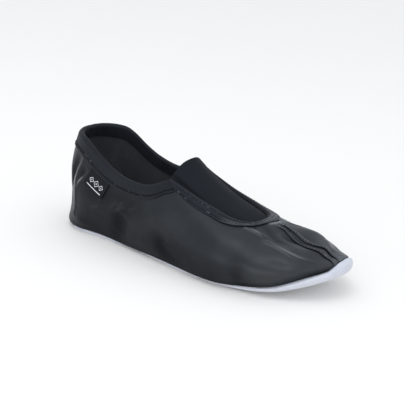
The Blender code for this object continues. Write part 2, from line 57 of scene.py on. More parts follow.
# The last, the same as the solids have it: sections by share of the length, sizes in millimetres
lastForm = {
    "length": 240.0, "originAhead": 121.0, "originAcross": 1.6,
    "heelRound": 34.0, "toeRound": 50.0, "heelPower": 2.3, "toePower": 2.0,
    "flatShare": 0.79, "heelTuck": 4.0, "toeTuck": 6.0, "leanLength": 70.0, "leanFade": 1.5,
    "along":    (0.00, 0.10, 0.22, 0.34, 0.45, 0.56, 0.66, 0.76, 0.86, 0.90, 0.94, 1.00),
    "lateral":  (29.0, 30.2, 30.4, 33.0, 37.3, 41.3, 43.2, 42.0, 39.2, 37.6, 36.0, 34.0),
    "medial":   (30.0, 31.0, 31.0, 31.0, 33.0, 37.5, 41.5, 41.7, 40.8, 39.6, 38.4, 38.0),
    "middle":   (0.5, 0.5, 0.8, 0.8, 1.0, 1.0, 1.4, 2.8, 4.8, 6.0, 7.3, 9.2),
    "girdle":   (14.0, 18.0, 23.0, 25.0, 24.0, 20.7, 18.6, 17.7, 17.8, 18.5, 19.5, 21.8),
    "crest":    (150.0, 150.0, 140.0, 107.0, 79.0, 60.0, 48.6, 41.0, 36.0, 33.0, 28.2, 26.6),
    "fullness": (1.70, 1.70, 1.70, 1.70, 1.73, 1.77, 1.87, 1.93, 2.00, 2.00, 2.00, 2.00),
    "floor":    (0.0, 0.0, 0.0, 0.3, 0.3, 0.0, 0.0, 1.5, 5.0, 7.8, 11.0, 17.0),
    "arch":     (0.0, 0.0, 0.6, 3.0, 2.6, 0.0, 0.0, 0.0, 0.0, 0.0, 0.0, 0.0),
    "lean":     ((0, -1.5), (4, -1.4), (8, 0.2), (11, 2.0), (14, 2.9), (18, 3.9), (23, 4.4), (30, 4.4),
                 (38, 3.3), (48, 2.7), (62, 4.6), (70, 7.7), (80, 12)),
    "collar":   ((0, 79), (21, 76.5), (33, 72), (47, 64.2), (60, 58.3), (76, 54.7), (88, 54), (97, 55.4),
                 (106, 59), (110, 61)),
    "feather":  ((0, -80), (0.05, -77), (0.10, -70), (0.16, -67), (0.23, -71), (0.30, -86), (0.36, -88),
                 (0.42, -80), (0.50, -73), (0.58, -72), (0.65, -74), (0.69, -72), (0.73, -66), (0.80, -54),
                 (0.85, -46), (0.90, -29), (0.94, -8), (0.96, 3), (0.971, 11), (0.977, 18), (0.981, 33),
                 (0.985, 90)),
    "band":     ((0, 10.4), (30, 10.6), (60, 10.5), (75, 9.8), (86, 9.3), (95, 9.1), (104, 8.3), (106.5, 7.2),
                 (108.5, 5.8), (110, 4.7), (117, 4.0)),
    "leatherTip": 0.985, "soleClose": 0.9865,
    "throatStart": 110.0, "throatRound": 150.0, "throatTip": 177.4, "throatHalf": 20.2, "throatPower": 0.8,
    "straightShare": 4 / 11,
    "lateralTape": ((0, 2.6), (0.05, 3.1), (0.11, 4.0), (0.18, 4.8), (0.26, 5.6), (0.38, 6.0), (0.5, 4.9),
                    (0.6, 3.5), (0.7, 2.8), (0.8, 2.4), (0.9, 2.4), (0.95, 2.7), (1, 3.4)),
    "medialTape": ((0, 2.6), (0.05, 3.1), (0.11, 4.0), (0.18, 4.8), (0.26, 5.6), (0.38, 6.0), (0.5, 5.8),
                   (0.6, 5.6), (0.7, 5.8), (0.8, 5.7), (0.9, 5.2), (0.95, 4.5), (1, 3.4)),
    "elasticEdge": ((0, -0.5), (0.18, -0.8), (0.25, -3.6), (0.30, -4.2), (0.35, -2.2), (0.39, -1.35),
                    (0.53, -0.4), (0.68, 0.45), (0.85, 1.4), (1, 1.8)),
    "leather": 1.5, "gap": 0.35, "tape": 0.85, "soleThickness": 2.2,
}


def smoothCurve(knots):
    # monotone cubic through (place, value) pairs, for a number or an array
    x, y = np.array(knots, float).T
    width = np.diff(x)
    rise = np.diff(y) / width
    before, after = 2 * width[1:] + width[:-1], width[1:] + 2 * width[:-1]
    with np.errstate(divide="ignore", invalid="ignore"):
        mean = (before + after) / (before / rise[:-1] + after / rise[1:])
    slope = np.concatenate([rise[:1], np.where(rise[:-1] * rise[1:] > 0, mean, 0), rise[-1:]])

    def curve(place):
        place = np.clip(place, x[0], x[-1])
        i = np.clip(np.searchsorted(x, place, side="right") - 1, 0, len(width) - 1)
        t = (place - x[i]) / width[i]
        return ((1 + 2 * t) * (1 - t) ** 2 * y[i] + t * t * (3 - 2 * t) * y[i + 1]
                + width[i] * t * (1 - t) * ((1 - t) * slope[i] - t * slope[i + 1]))
    return curve


sectionNames = ("lateral", "medial", "middle", "girdle", "crest", "fullness", "floor", "arch")
section = {name: smoothCurve(list(zip(lastForm["along"], lastForm[name]))) for name in sectionNames}
heelLean, collarEdge = smoothCurve(lastForm["lean"]), smoothCurve(lastForm["collar"])
featherLine, bandWidth = smoothCurve(lastForm["feather"]), smoothCurve(lastForm["band"])
lateralTape, medialTape = smoothCurve(lastForm["lateralTape"]), smoothCurve(lastForm["medialTape"])
elasticEdge = smoothCurve(lastForm["elasticEdge"])
toeStart = lastForm["length"] - lastForm["toeRound"]


def ease(share):
    share = np.clip(share, 0, 1)
    return share * share * (3 - 2 * share)


def bell(place, middle, width):
    return np.exp(-((place - middle) / width) ** 2)


def runAlong(points):
    # distance run from the first point of a line to each of its points
    return np.concatenate([[0], np.cumsum(np.linalg.norm(np.diff(points, axis=0), axis=1))])


def endRounds(along):
    # how far into the round of the heel and of the toe a place lies, from 0 to 1
    ahead = along * lastForm["length"]
    return (np.clip(1 - ahead / lastForm["heelRound"], 0, 1),
            np.clip(1 - (lastForm["length"] - ahead) / lastForm["toeRound"], 0, 1))


def halfWidth(along, side, depth=0.0):
    # from the middle line to the side at its widest level, drawn in at heel and toe
    heel, toe = endRounds(along)
    half = np.where(np.asarray(side) < 0, section["lateral"](along), section["medial"](along)) - depth
    heelPower, toePower = lastForm["heelPower"], lastForm["toePower"]
    return half * (1 - heel ** heelPower) ** (1 / heelPower) * (1 - toe ** toePower) ** (1 / toePower)


def lastPoint(along, turn, side, depth=0.0):
    # turn: 90 on the crest, 0 at the widest level, -90 at the edge of the flat bottom, -180 in its middle
    given = (np.asarray(value, float) for value in (along, turn, side, depth))
    along, turn, side, depth = np.broadcast_arrays(*given)
    length, flat = lastForm["length"], lastForm["flatShare"]
    heel, toe = endRounds(along)
    half = halfWidth(along, side, depth)
    girdle, power = section["girdle"](along), 2 / section["fullness"](along)
    over, below = np.radians(np.clip(turn, 0, 90)), np.radians(np.clip(turn, -90, 0))
    reach = np.minimum(1, 2 + turn / 90)
    lift = np.where(side > 0, section["arch"](along) * reach ** 2, 0)
    cosOver = np.clip(np.cos(over), 0, 1)
    across = np.where(turn >= 0, half * cosOver ** power, half * (flat + (1 - flat) * np.cos(below)) * reach)
    up = np.where(turn >= 0, girdle + (section["crest"](along) - depth - girdle) * np.sin(over) ** power,
                  girdle + (girdle - section["floor"](along) - lift - depth) * np.sin(below))
    heelward = np.clip(1 - along * length / lastForm["leanLength"], 0, 1) ** lastForm["leanFade"]
    ahead = depth + (length - 2 * depth) * along + heelLean(up) * heelward
    ahead = ahead + (1 - np.cos(below)) * (lastForm["heelTuck"] * heel ** 2 - lastForm["toeTuck"] * toe ** 2)
    return np.stack([ahead - lastForm["originAhead"],
                     section["middle"](along) + side * across - lastForm["originAcross"], up], -1)


def turnAtHeight(along, height):
    share = (height - section["girdle"](along)) / (section["crest"](along) - section["girdle"](along))
    return np.degrees(np.arcsin(np.clip(share, 0, 1) ** (section["fullness"](along) / 2)))


def turnAtWidth(along, side, width):
    share = np.clip(width / np.maximum(halfWidth(along, side), 1e-9), 0, 1)
    return np.degrees(np.arccos(share ** (section["fullness"](along) / 2)))


def turnFor(along, turn, side, distance):
    # the change of turn that moves a point by a distance round its section
    span = lastPoint(along, turn + 0.5, side) - lastPoint(along, turn - 0.5, side)
    return distance / np.linalg.norm(span, axis=-1)


def collarTurn(along, below):
    # a line that runs at a distance below the leather's collar edge
    step = 5.0
    ahead = along * lastForm["length"]
    stretch = np.hypot(1, (collarEdge(ahead + step) - collarEdge(ahead - step)) / (2 * step))
    return turnAtHeight(along, collarEdge(ahead) - below * stretch)


def featherTurn(along, side, offset):
    # angle of the seam between leather and sole, moved up by a distance, or forwards over the toe
    seam = featherLine(along + offset / lastForm["length"])
    return np.minimum(seam + turnFor(along, seam, side, offset), 90)


def throatPlace(share, side, grow=0.0):
    # along and turn of the throat's edge, 0 at the collar and 1 at the tip; grow moves it into the leather
    start, bend, tip = lastForm["throatStart"], lastForm["throatRound"], lastForm["throatTip"]
    half, straight, power = lastForm["throatHalf"], lastForm["straightShare"], lastForm["throatPower"]
    startAlong = start / lastForm["length"]
    startTurn = np.radians(collarTurn(startAlong, 0.0))
    startWidth = halfWidth(startAlong, side) * np.cos(startTurn) ** (2 / section["fullness"](startAlong))
    part = np.clip(share / straight, 0, 1)
    swing = np.clip((share - straight) / (1 - straight), 0, 1) * math.pi / 2
    curved = share > straight
    onward, inward = np.sin(swing) ** power, np.clip(np.cos(swing), 0, 1) ** power
    ahead = np.where(curved, bend + (tip - bend + grow) * onward, start + (bend - start) * part)
    width = np.where(curved, (half + grow) * inward, startWidth + (half - startWidth) * part + grow)
    along = ahead / lastForm["length"]
    return along, turnAtWidth(along, side, width)


# Creases of the worn-in leather: (ahead of the heel, across, up) in millimetres,
# with how far the line stands out (a trough has a minus) and how wide it is
creases = {
    "heelFold": (((30, -27, 61), (25, -26.7, 51), (22.5, -26.8, 44), (21.6, -26.9, 37), (22, -27.4, 29),
                  (22.5, -28, 21), (21, -27.8, 13)), 1.45, 1.05),
    "behindHeelFold": (((24, -24.5, 60), (18.5, -23.5, 50), (16, -23.4, 42), (15.5, -23.5, 34),
                        (16, -24, 26)), -2.1, 3.4),
    "labelFold": (((36, -28.9, 53), (32, -29, 48), (27, -28, 42.5), (23.4, -27.3, 37)), 1.25, 1.0),
    "underLabelFold": (((31.5, -28, 54), (28, -27.6, 48)), -1.0, 2.2),
    "heelFoot": (((24, -28.5, 12), (32, -29, 10), (42, -29, 11)), 0.6, 3.5),
    "behindArch": (((75, -31, 27), (71, -30.6, 20), (68.5, -30, 13)), -1.6, 8.0),
    "brimOfArch": (((60, -30, 24.5), (70, -31, 29.5), (81, -32, 29)), 0.55, 3.0),
    "archSwell": (((78, -31, 12), (88, -32, 14), (98, -34, 15)), 0.8, 6.0),
    "frontArch": (((113, -37, 22), (119, -37.3, 14), (131, -38.5, 10.5)), -1.2, 6.0),
    "quarterSwell": (((96, -33, 39), (107, -35, 35), (118, -36.5, 32), (128, -38, 30)), 0.7, 6.5),
    "quarterPull1": (((65.6, -30.3, 28.5), (74.8, -30.9, 34.2)), 0.3, 1.5),
    "quarterPull2": (((68.4, -30.4, 33.2), (74.3, -30.6, 37.9)), 0.3, 1.5),
    "quarterPull3": (((60, -30, 29.5), (67, -30, 36)), 0.25, 1.6),
    "quarterPull4": (((80, -31.5, 33), (88, -32, 37)), 0.22, 1.6),
    "labelPull1": (((40.5, -29.6, 25), (48.5, -29.5, 28)), 0.3, 1.6),
    "labelPull2": (((39, -29.6, 20.8), (50, -29.6, 22.6)), -0.4, 1.4),
    "labelPull3": (((48, -29.6, 32), (53, -29.6, 38)), 0.3, 1.2),
    "underCorner1": (((110, -32.3, 43.6), (124, -33, 41.6)), -0.4, 1.6),
    "underCorner2": (((106, -32.6, 40.6), (118, -34.2, 38)), -0.3, 1.5),
    "throatRidge": (((173, -16.5, 41.1), (177, -15.6, 40.2), (181, -14.9, 39.2), (184, -15.2, 38.3),
                     (187.5, -15.4, 37.2)), 1.0, 1.7),
    "vampRidge": (((189.5, -19.2, 35.7), (195, -18.4, 34.9), (200, -18, 33.9), (205, -17.5, 32.8),
                   (210, -16.8, 31.4), (215, -15.3, 29.8), (219.5, -12.6, 28.3), (223, -9.2, 27.1)),
                  1.02, 1.5),
    "vampValley": (((185, -7.5, 39.4), (190.5, -10.8, 37.7), (196, -13, 36), (204, -12, 34.2)), -1.3, 3.4),
    "toeSaddle": (((194, -2, 38), (201, -1, 36.8), (207, 1, 35.3), (212, 5, 34)), -2.8, 7.0),
    "toeHump": (((219, -3, 31.8), (222, 4, 31), (222, 11, 30.4)), 1.0, 4.5),
    "medialHump": (((198, 21, 36), (206, 25, 33.4), (213, 25, 31.4)), 1.5, 6.5),
    "toeLip": (((224, 22.5, 28), (228, 16, 27.8), (231, 7, 27.4)), -1.6, 5.5),
    "toeShoulder": (((213, 32, 29), (218, 30.5, 27), (222, 29, 25.6), (226, 26.5, 25)), -1.1, 5.5),
    "sideDent1": (((202, -30.4, 25.6), (207.3, -26.6, 27.1)), -0.28, 2.8),
    "sideDent2": (((207, -27.5, 25.6), (213.5, -24.8, 24.8)), -0.4, 2.2),
    "toePinch": (((212.5, -27.9, 21.5), (214.3, -27, 16)), -0.4, 1.4),
    "ballSwell": (((186, -36, 26), (192.7, -36.9, 19.5), (196, -36, 12.5)), 0.4, 6.5),
    "behindBall": (((175, -38.5, 27), (181, -39, 19), (185, -38, 11)), -0.6, 6.0),
    "vampSwell": (((150, -34, 37), (165, -33, 36), (178, -29, 35)), 0.5, 7.0),
    "medialFlex1": (((186, 19, 38), (195, 24, 34), (203, 30, 28)), 0.7, 2.0),
    "medialFlex2": (((180, 24, 36), (187, 30, 30), (193, 35, 23)), -0.8, 2.8),
    "medialArch": (((75, 31, 26), (90, 31, 18), (104, 33, 12)), -1.1, 6.5),
    "medialSwell": (((100, 32, 38), (118, 35, 32), (135, 38, 27)), 0.6, 6.5),
    "medialHeelFold": (((27, 27.5, 60), (23, 27, 50), (21, 27, 40), (21.5, 27.6, 30)), 1.0, 2.2),
    "behindMedialFold": (((19, 24.5, 56), (16, 24, 46), (15, 24, 36)), -1.2, 3.2),
}
# Gloss of the leather, patch by patch: lines in the same millimetres, how much more or less polish, how wide
# where a patch lifts the shine high, the leather is also painted pale there: a painted highlight
glossPatches = {
    "underCollar": (((28, -28, 42), (45, -29.5, 38), (60, -29.7, 36), (80, -31, 35), (95, -33, 33)),
                    -0.36, 13),
    "heelCorner": (((15, -22, 58), (13, -21, 45), (13, -21, 32)), -0.28, 8),
    "heelBack": (((4, 0.5, 28), (5, 0.5, 45), (6, 0.5, 65)), -0.2, 18),
    "heelEdge": (((19, -27, 27), (18, -26, 20), (18.5, -26.5, 13), (24, -29, 12)), 0.2, 6),
    "quarterShine": (((112, -35, 36), (122, -36.3, 36), (132, -37, 36)), 0.15, 8),
    "archShade": (((106, -34.8, 19), (124, -37.7, 19), (138, -39, 16)), -0.22, 9),
    "besideThroat": (((145, -29, 42.5), (160, -27, 40.5), (170, -23.5, 39.5), (176, -17, 40.3)), 0.22, 6),
    "ballShade": (((188, -33, 27), (200, -30, 26), (210, -26.5, 24.5)), -0.22, 8),
    "behindBallShade": (((177, -40, 20), (184, -38.3, 14), (190, -38, 8), (198, -36.5, 5)), -0.28, 7),
    "underTape": (((171, -19, 41.2), (176.8, -14.9, 40.7), (179.5, -10.6, 40.3)), 0.32, 2.4),
    # painted highlight: a pale strip on the leather just ahead of the tape's tip
    "paintedHighlightAheadOfThroat": (((181.2, -2, 41.2), (182.6, 4, 40.9), (183.4, 10, 40.2), (184.5, 17, 39.2)), 0.68, 2.2),
    "toeRim": (((216, 30, 27.5), (222, 28, 26), (227, 21, 26.8), (231, 10, 27)), 0.45, 6.0),
    "toeSaddleShine": (((192, -3, 38.5), (201, -1, 36.8), (208, 1, 35.2)), 0.5, 7),
    "medialToe": (((196, 14, 37), (206, 15.5, 35.4), (214, 15, 33)), -0.4, 8),
}
creaseForm = {"reach": 3.0, "endHeight": 0.45, "endRound": 0.6, "narrow": 2.0}
leatherRelief = {"unevenness": 0.22, "unevenSpan": 21.0, "seed": 7.3, "calmBelow": 4.0,
                 "backSeamDepth": 0.55, "backSeamWidth": 0.7, "backSeamTo": 16.0, "backSeamFade": 6.0,
                 "puckerDepth": 0.22, "puckerSpan": 3.6, "puckerReach": 4.5, "puckerClear": 1.5,
                 "puckerFrom": 190.0, "puckerFade": 20.0}


def distanceToLine(points, line):
    # distance from each point to the line, and the share of the line's length where it is nearest
    line = np.array(line, float)
    runs = runAlong(line)
    best, share = np.full(len(points), np.inf), np.zeros(len(points))
    for i, (start, end) in enumerate(zip(line, line[1:])):
        span = end - start
        part = np.clip((points - start) @ span / (span @ span), 0, 1)
        away = np.linalg.norm(points - start - part[:, None] * span, axis=1)
        nearer = away < best
        best = np.where(nearer, away, best)
        share = np.where(nearer, (runs[i] + part * (runs[i + 1] - runs[i])) / runs[-1], share)
    return best, share


def creaseSum(flat, chosen):
    # heights of the chosen creases, added up at each point; each line is lower at its ends
    relief = np.zeros(len(flat))
    for line, height, width in chosen:
        reach = creaseForm["reach"] * width
        lo, hi = np.min(line, axis=0) - reach, np.max(line, axis=0) + reach
        near = np.flatnonzero(((flat > lo) & (flat < hi)).all(axis=1))
        away, share = distanceToLine(flat[near], line)
        swell = np.sin(math.pi * share) ** creaseForm["endRound"]
        swell = creaseForm["endHeight"] + (1 - creaseForm["endHeight"]) * swell
        relief[near] += height * bell(away, 0, width) * swell
    return relief


def fromHeel(points):
    # a list of the points, each as (ahead of the heel, across, up)
    return points.reshape(-1, 3) + (lastForm["originAhead"], lastForm["originAcross"], 0)


def leatherShine(points):
    # narrow ridges are polished by wear and painted pale as a highlight; away from them the wide hollows stay
    # dull and the gloss patches show
    flat, look, narrow = fromHeel(points), leatherLook, creaseForm["narrow"]
    ridges = creaseSum(flat, [line for line in creases.values() if line[1] > 0 and line[2] < narrow])
    hollows = creaseSum(flat, [line for line in creases.values() if line[1] < 0 and line[2] > narrow])
    ground = look["shineGain"] * look["hollowShare"] * hollows + creaseSum(flat, glossPatches.values())
    shine = look["shineGain"] * ridges + ground * (1 - ease(ridges / look["ridgeClear"]))
    return shine.reshape(points.shape[:-1])


def creaseRelief(points):
    # how far the leather stands out from the last, in millimetres
    flat, form = fromHeel(points), leatherRelief
    lumps = [noise.noise(Vector(place)) for place in flat / form["unevenSpan"] + (0, form["seed"], 0)]
    seam = form["backSeamDepth"] * bell(flat[:, 1], section["middle"](0.0), form["backSeamWidth"])
    seam = seam * ease((form["backSeamTo"] - flat[:, 0]) / form["backSeamFade"])
    relief = creaseSum(flat, creases.values()) + form["unevenness"] * np.array(lumps) - seam
    return (relief * ease(flat[:, 2] / form["calmBelow"])).reshape(points.shape[:-1])


def leatherPoint(along, turn, side, depth):
    # a point on the creased leather or a piece that lies on it
    return lastPoint(along, turn, side, depth - creaseRelief(lastPoint(along, turn, side)))


class Wire:
    # a node's output that takes part in sums, so that the maths of a node tree reads as plain Python
    def __init__(self, tree, socket):
        self.tree, self.socket = tree, socket

    def node(self, kind, settings=None, sockets=None, out=0):
        made = self.tree.nodes.new(kind)
        for name, value in (settings or {}).items():
            setattr(made, name, value)
        for name, value in (sockets or {}).items():
            if isinstance(value, Wire):
                self.tree.links.new(value.socket, made.inputs[name])
            else:
                made.inputs[name].default_value = value
        return Wire(self.tree, made.outputs[out])

    def maths(self, operation, first, second=0.0):
        return self.node("ShaderNodeMath", {"operation": operation}, {0: first, 1: second})

    def __add__(self, other):
        return self.maths("ADD", self, other)

    def __radd__(self, other):
        return self.maths("ADD", other, self)

    def __sub__(self, other):
        return self.maths("SUBTRACT", self, other)

    def __rsub__(self, other):
        return self.maths("SUBTRACT", other, self)

    def __mul__(self, other):
        return self.maths("MULTIPLY", self, other)

    def __rmul__(self, other):
        return self.maths("MULTIPLY", other, self)

    def __truediv__(self, other):
        return self.maths("DIVIDE", self, other)

    def __lt__(self, other):
        return self.maths("LESS_THAN", self, other)

    def __gt__(self, other):
        return self.maths("GREATER_THAN", self, other)

    def __abs__(self):
        return self.maths("ABSOLUTE", self)

    def sine(self):
        return self.maths("SINE", self)

    def larger(self, other):
        return self.maths("MAXIMUM", self, other)

    def smaller(self, other):
        return self.maths("MINIMUM", self, other)

    def clamped(self):
        return self.larger(0.0).smaller(1.0)

    def mixed(self, low, high):
        # a colour between two others, by this value
        low, high = (end if isinstance(end, Wire) else (*end, 1) for end in (low, high))
        return self.node("ShaderNodeMix", {"data_type": "RGBA"}, {0: self, 6: low, 7: high}, out=2)

    def noise(self, scale, detail=3.0, rough=0.55):
        # noise by its scale, with the usual detail unless a finish gives its own
        return self.node("ShaderNodeTexNoise", None,
                         {"Vector": self, "Scale": scale, "Detail": detail, "Roughness": rough})

    def stretched(self, scale, turn):
        return self.node("ShaderNodeMapping", None, {"Vector": self, "Scale": scale, "Rotation": turn})

    def split(self):
        parts = self.node("ShaderNodeSeparateXYZ", None, {0: self})
        return [Wire(self.tree, parts.socket.node.outputs[axis]) for axis in "XYZ"]

    def attribute(self, name):
        # the three values that a mesh keeps at each point under this name
        return self.node("ShaderNodeAttribute", {"attribute_name": name}, out="Vector").split()


def newFinish(name, constants):
    # a material with its shader's fixed values set; returns both, with a wire of Object coordinates
    material = bpy.data.materials.new(name)
    material.use_nodes = True
    tree = material.node_tree
    shader = tree.nodes["Principled BSDF"]
    for socket, value in constants.items():
        shader.inputs[socket].default_value = value
    place = tree.nodes.new("ShaderNodeTexCoord")
    return material, shader, Wire(tree, place.outputs["Object"])


def feed(shader, **wires):
    names = {"colour": "Base Color", "rough": "Roughness", "coat": "Coat Weight", "normal": "Normal"}
    for name, wire in wires.items():
        wire.tree.links.new(wire.socket, shader.inputs[names[name]])


def bumped(height, distance, strength, under=None):
    sockets = {"Height": height, "Distance": distance, "Strength": strength}
    if under is not None:
        sockets["Normal"] = under
    return height.node("ShaderNodeBump", None, sockets)


# Soft black leather: a fine pebble grain with hair cracks across the flexing parts, a low broken gloss
leatherLook = {
    "dark": (0.0042, 0.0050, 0.0066), "pale": (0.0090, 0.0105, 0.0134),
    "gloss": 0.09, "coatRough": 0.38, "coatIndex": 1.5,
    "patch": (34, 4.0, 0.6), "spot": 140, "toneFrom": 0.3, "patchTone": 1.6, "spotTone": 0.5,
    "rough": 0.42, "patchRough": 0.16, "spotRough": 0.12, "crackRough": 0.05,
    "grain": 1150, "grainUneven": 0.9, "pores": (2645, 2.0), "pebbleRise": 0.8, "poreRise": 0.35,
    "grainDepth": 0.00007, "grainPart": 0.55,
    "crack": (330, 4.0, 0.6), "crackStretch": (0.35, 1, 1), "crackTurn": (0, 0, 0.5),
    "crackSharp": 9.0, "crackRise": -0.6, "patchRise": 2.0, "crackDepth": 0.00009, "crackPart": 0.5,
    "polish": 0.48, "polishLeast": 0.7, "polishPatch": 0.6, "dullSpan": 28, "edgeFrom": 1.5, "edgeSpan": 5.5,
    "vampPolish": 0.62, "vampFrom": 160, "vampSpan": 50, "shineGain": 0.5, "hollowShare": 0.5, "ridgeClear": 0.8,
    # the pale that high shine paints on the ridges: partly rubbed wear, partly a painted highlight
    "wearAndPaintedHighlight": (0.36, 0.33, 0.30), "paintedHighlightFrom": 0.36, "paintedHighlightGain": 2.8,
}
coolGloss = (0.80, 0.90, 1.0, 1)  # black dye gives the gloss a cool cast


def leatherFinish():
    look = leatherLook
    material, shader, place = newFinish("blackLeather", {
        "Specular IOR Level": look["gloss"], "Specular Tint": coolGloss, "Coat Roughness": look["coatRough"],
        "Coat IOR": look["coatIndex"], "Coat Tint": coolGloss})
    ahead, run, shine = place.attribute("cloth")
    vamp = ((ahead - look["vampFrom"]) / look["vampSpan"]).clamped()
    edge = ((run - look["edgeFrom"]) / look["edgeSpan"]).clamped()  # dull down by the seam
    polish = (run / look["dullSpan"] + vamp).clamped() * edge * (look["polish"] + vamp * look["vampPolish"])
    pebbles = place.node("ShaderNodeTexVoronoi", {"feature": "DISTANCE_TO_EDGE"},
                         {"Vector": place, "Scale": look["grain"], "Randomness": look["grainUneven"]})
    pores = place.noise(*look["pores"])
    hairs = place.stretched(look["crackStretch"], look["crackTurn"]).noise(*look["crack"])
    cracks = 1 - (abs(hairs - 0.5) * look["crackSharp"]).smaller(1.0)
    patches, spots = place.noise(*look["patch"]), place.noise(look["spot"])
    grain = bumped(pebbles * look["pebbleRise"] + pores * look["poreRise"],
                   look["grainDepth"], look["grainPart"])
    normal = bumped(cracks * look["crackRise"] + patches * look["patchRise"],
                    look["crackDepth"], look["crackPart"], grain)
    tone = (patches - look["toneFrom"]) * look["patchTone"] + (spots - 0.5) * look["spotTone"]
    # painted highlight: where the shine runs high the leather is painted pale, like rubbed leather
    wearAndPaintedHighlight = ((shine - look["paintedHighlightFrom"]) * look["paintedHighlightGain"]).clamped()
    rough = look["rough"] + (patches - 0.5) * look["patchRough"] + (spots - 0.5) * look["spotRough"]
    feed(shader, colour=wearAndPaintedHighlight.mixed(tone.mixed(look["dark"], look["pale"]), look["wearAndPaintedHighlight"]), normal=normal,
         rough=rough + cracks * look["crackRough"],
         coat=(polish * (look["polishLeast"] + patches * look["polishPatch"]) + shine).clamped())
    return material


# Woven trims: twill that runs with the cloth's own attribute (along, across in millimetres, painted sheen)
bandLook = {"dark": (0.0055, 0.0063, 0.0080), "pale": (0.0175, 0.0196, 0.0242), "pitch": 0.75,
            "rough": 0.62, "depth": 0.00012, "sheen": 0.05, "gloss": 0.18}
tapeLook = {"dark": (0.0065, 0.0075, 0.0095), "pale": (0.0230, 0.0255, 0.0310), "pitch": 0.75,
            "rough": 0.62, "depth": 0.00012, "sheen": 0.12, "gloss": 0.18}
elasticLook = {"dark": (0.0060, 0.0070, 0.0090), "pale": (0.0140, 0.0160, 0.0200), "pitch": 0.9,
               "rough": 0.78, "depth": 0.00008, "sheen": 0.05, "gloss": 0.18}
liningLook = {"dark": (0.035, 0.036, 0.040), "pale": (0.075, 0.077, 0.083), "pitch": 0.8,
              "rough": 0.9, "depth": 0.0001, "sheen": 0.1, "gloss": 0.15}
weave = {"fuzz": (2600, 2.0), "patch": 90, "threadLean": 1.6, "sheenRough": 0.4,
         "twillTone": 0.35, "fuzzTone": 0.5, "patchTone": 0.6, "fuzzRough": 0.25, "patchRough": 0.15,
         "twillRise": 0.7, "threadRise": 0.3, "fuzzRise": 0.5, "risePart": 0.7,
         # the pale colour of the painted sheen, speckled by the fuzz and patches
         "paintedSheen": (0.105, 0.108, 0.114), "fuzzSheen": 2.6, "patchSheen": 1.2, "sheenFrom": 1.0}


def wovenFinish(name, look):
    material, shader, place = newFinish(name, {
        "Sheen Weight": look["sheen"], "Sheen Roughness": weave["sheenRough"],
        "Specular IOR Level": look["gloss"], "Specular Tint": coolGloss})
    along, across, sheenMask = place.attribute("cloth")
    turns = 2 * math.pi / look["pitch"]
    twill = (along * turns + across * turns).sine() * 0.5 + 0.5
    threads = (along * turns - across * (turns * weave["threadLean"])).sine() * 0.5 + 0.5
    fuzz, patches = place.noise(*weave["fuzz"]), place.noise(weave["patch"])
    tone = twill * weave["twillTone"] + fuzz * weave["fuzzTone"] + (patches - 0.5) * weave["patchTone"]
    # painted sheen: the cloth's third value paints the tape pale in speckles
    paintedSheen = (sheenMask * (fuzz * weave["fuzzSheen"] + patches * weave["patchSheen"] - weave["sheenFrom"])).clamped()
    rise = twill * weave["twillRise"] + threads * weave["threadRise"] + fuzz * weave["fuzzRise"]
    feed(shader, colour=paintedSheen.mixed(tone.mixed(look["dark"], look["pale"]), weave["paintedSheen"]),
         rough=look["rough"] + (fuzz - 0.5) * weave["fuzzRough"] + (patches - 0.5) * weave["patchRough"],
         normal=bumped(rise, look["depth"], weave["risePart"]))
    return material


# black thread; the pale colour is painted on a few stitches as painted glints
threadLook = {"dark": (0.003, 0.0033, 0.004), "pale": (0.26, 0.27, 0.29), "twist": (2400, 2.0), "gloss": 0.12,
              "wearAndPaintedHighlight": (260, 1.0), "paintedHighlightFrom": 0.60, "paintedHighlightGain": 9, "paintedGlintLeast": 0.4,
              "rough": 0.6, "plyRough": 0.3, "depth": 0.00006, "risePart": 0.6}


def threadFinish():
    look = threadLook
    material, shader, place = newFinish("blackThread", {"Specular IOR Level": look["gloss"]})
    ply = place.noise(*look["twist"])
    # a few stitches are painted bright: painted glints of light on the thread
    wearAndPaintedHighlight = ((place.noise(*look["wearAndPaintedHighlight"]) - look["paintedHighlightFrom"]) * look["paintedHighlightGain"]).clamped()
    feed(shader, colour=(wearAndPaintedHighlight * (look["paintedGlintLeast"] + ply)).mixed(look["dark"], look["pale"]),
         rough=look["rough"] + (ply - 0.5) * look["plyRough"],
         normal=bumped(ply, look["depth"], look["risePart"]))
    return material


# Pale chrome suede: short nap that lies in patches, greyer where it has been handled, and dark on the inside
suedeLook = {"shade": (0.50, 0.515, 0.575), "light": (0.70, 0.715, 0.775), "inside": (0.10, 0.10, 0.105),
             "nap": (1500, 5.0, 0.7), "napStretch": (0.6, 1, 1), "napTurn": (0, 0, 0.4),
             "brush": (95, 4.0, 0.6), "hand": 22, "napTone": 0.45, "brushTone": 0.6, "handTone": 0.35,
             "rough": 0.93, "brushRough": 0.1, "sheen": 0.25, "sheenRough": 0.5, "gloss": 0.2,
             "depth": 0.00016, "brushRise": 0.6, "risePart": 0.6}


def suedeFinish():
    look = suedeLook
    material, shader, place = newFinish("paleSuede", {
        "Sheen Weight": look["sheen"], "Sheen Roughness": look["sheenRough"],
        "Specular IOR Level": look["gloss"]})
    fibres = place.stretched(look["napStretch"], look["napTurn"]).noise(*look["nap"])
    brushed, handled = place.noise(*look["brush"]), place.noise(look["hand"])
    tone = fibres * look["napTone"] + brushed * look["brushTone"] + (handled - 0.5) * look["handTone"]
    inside = place.attribute("cloth")[2]
    feed(shader, colour=inside.mixed(tone.mixed(look["shade"], look["light"]), look["inside"]),
         rough=look["rough"] + (brushed - 0.5) * look["brushRough"],
         normal=bumped(fibres + brushed * look["brushRise"], look["depth"], look["risePart"]))
    return material


feltLook = {"shade": (0.12, 0.12, 0.125), "light": (0.24, 0.24, 0.25), "fibre": (1100, 6.0, 0.7),
            "rough": 0.95, "sheen": 0.2, "gloss": 0.15, "depth": 0.0002, "risePart": 0.7}


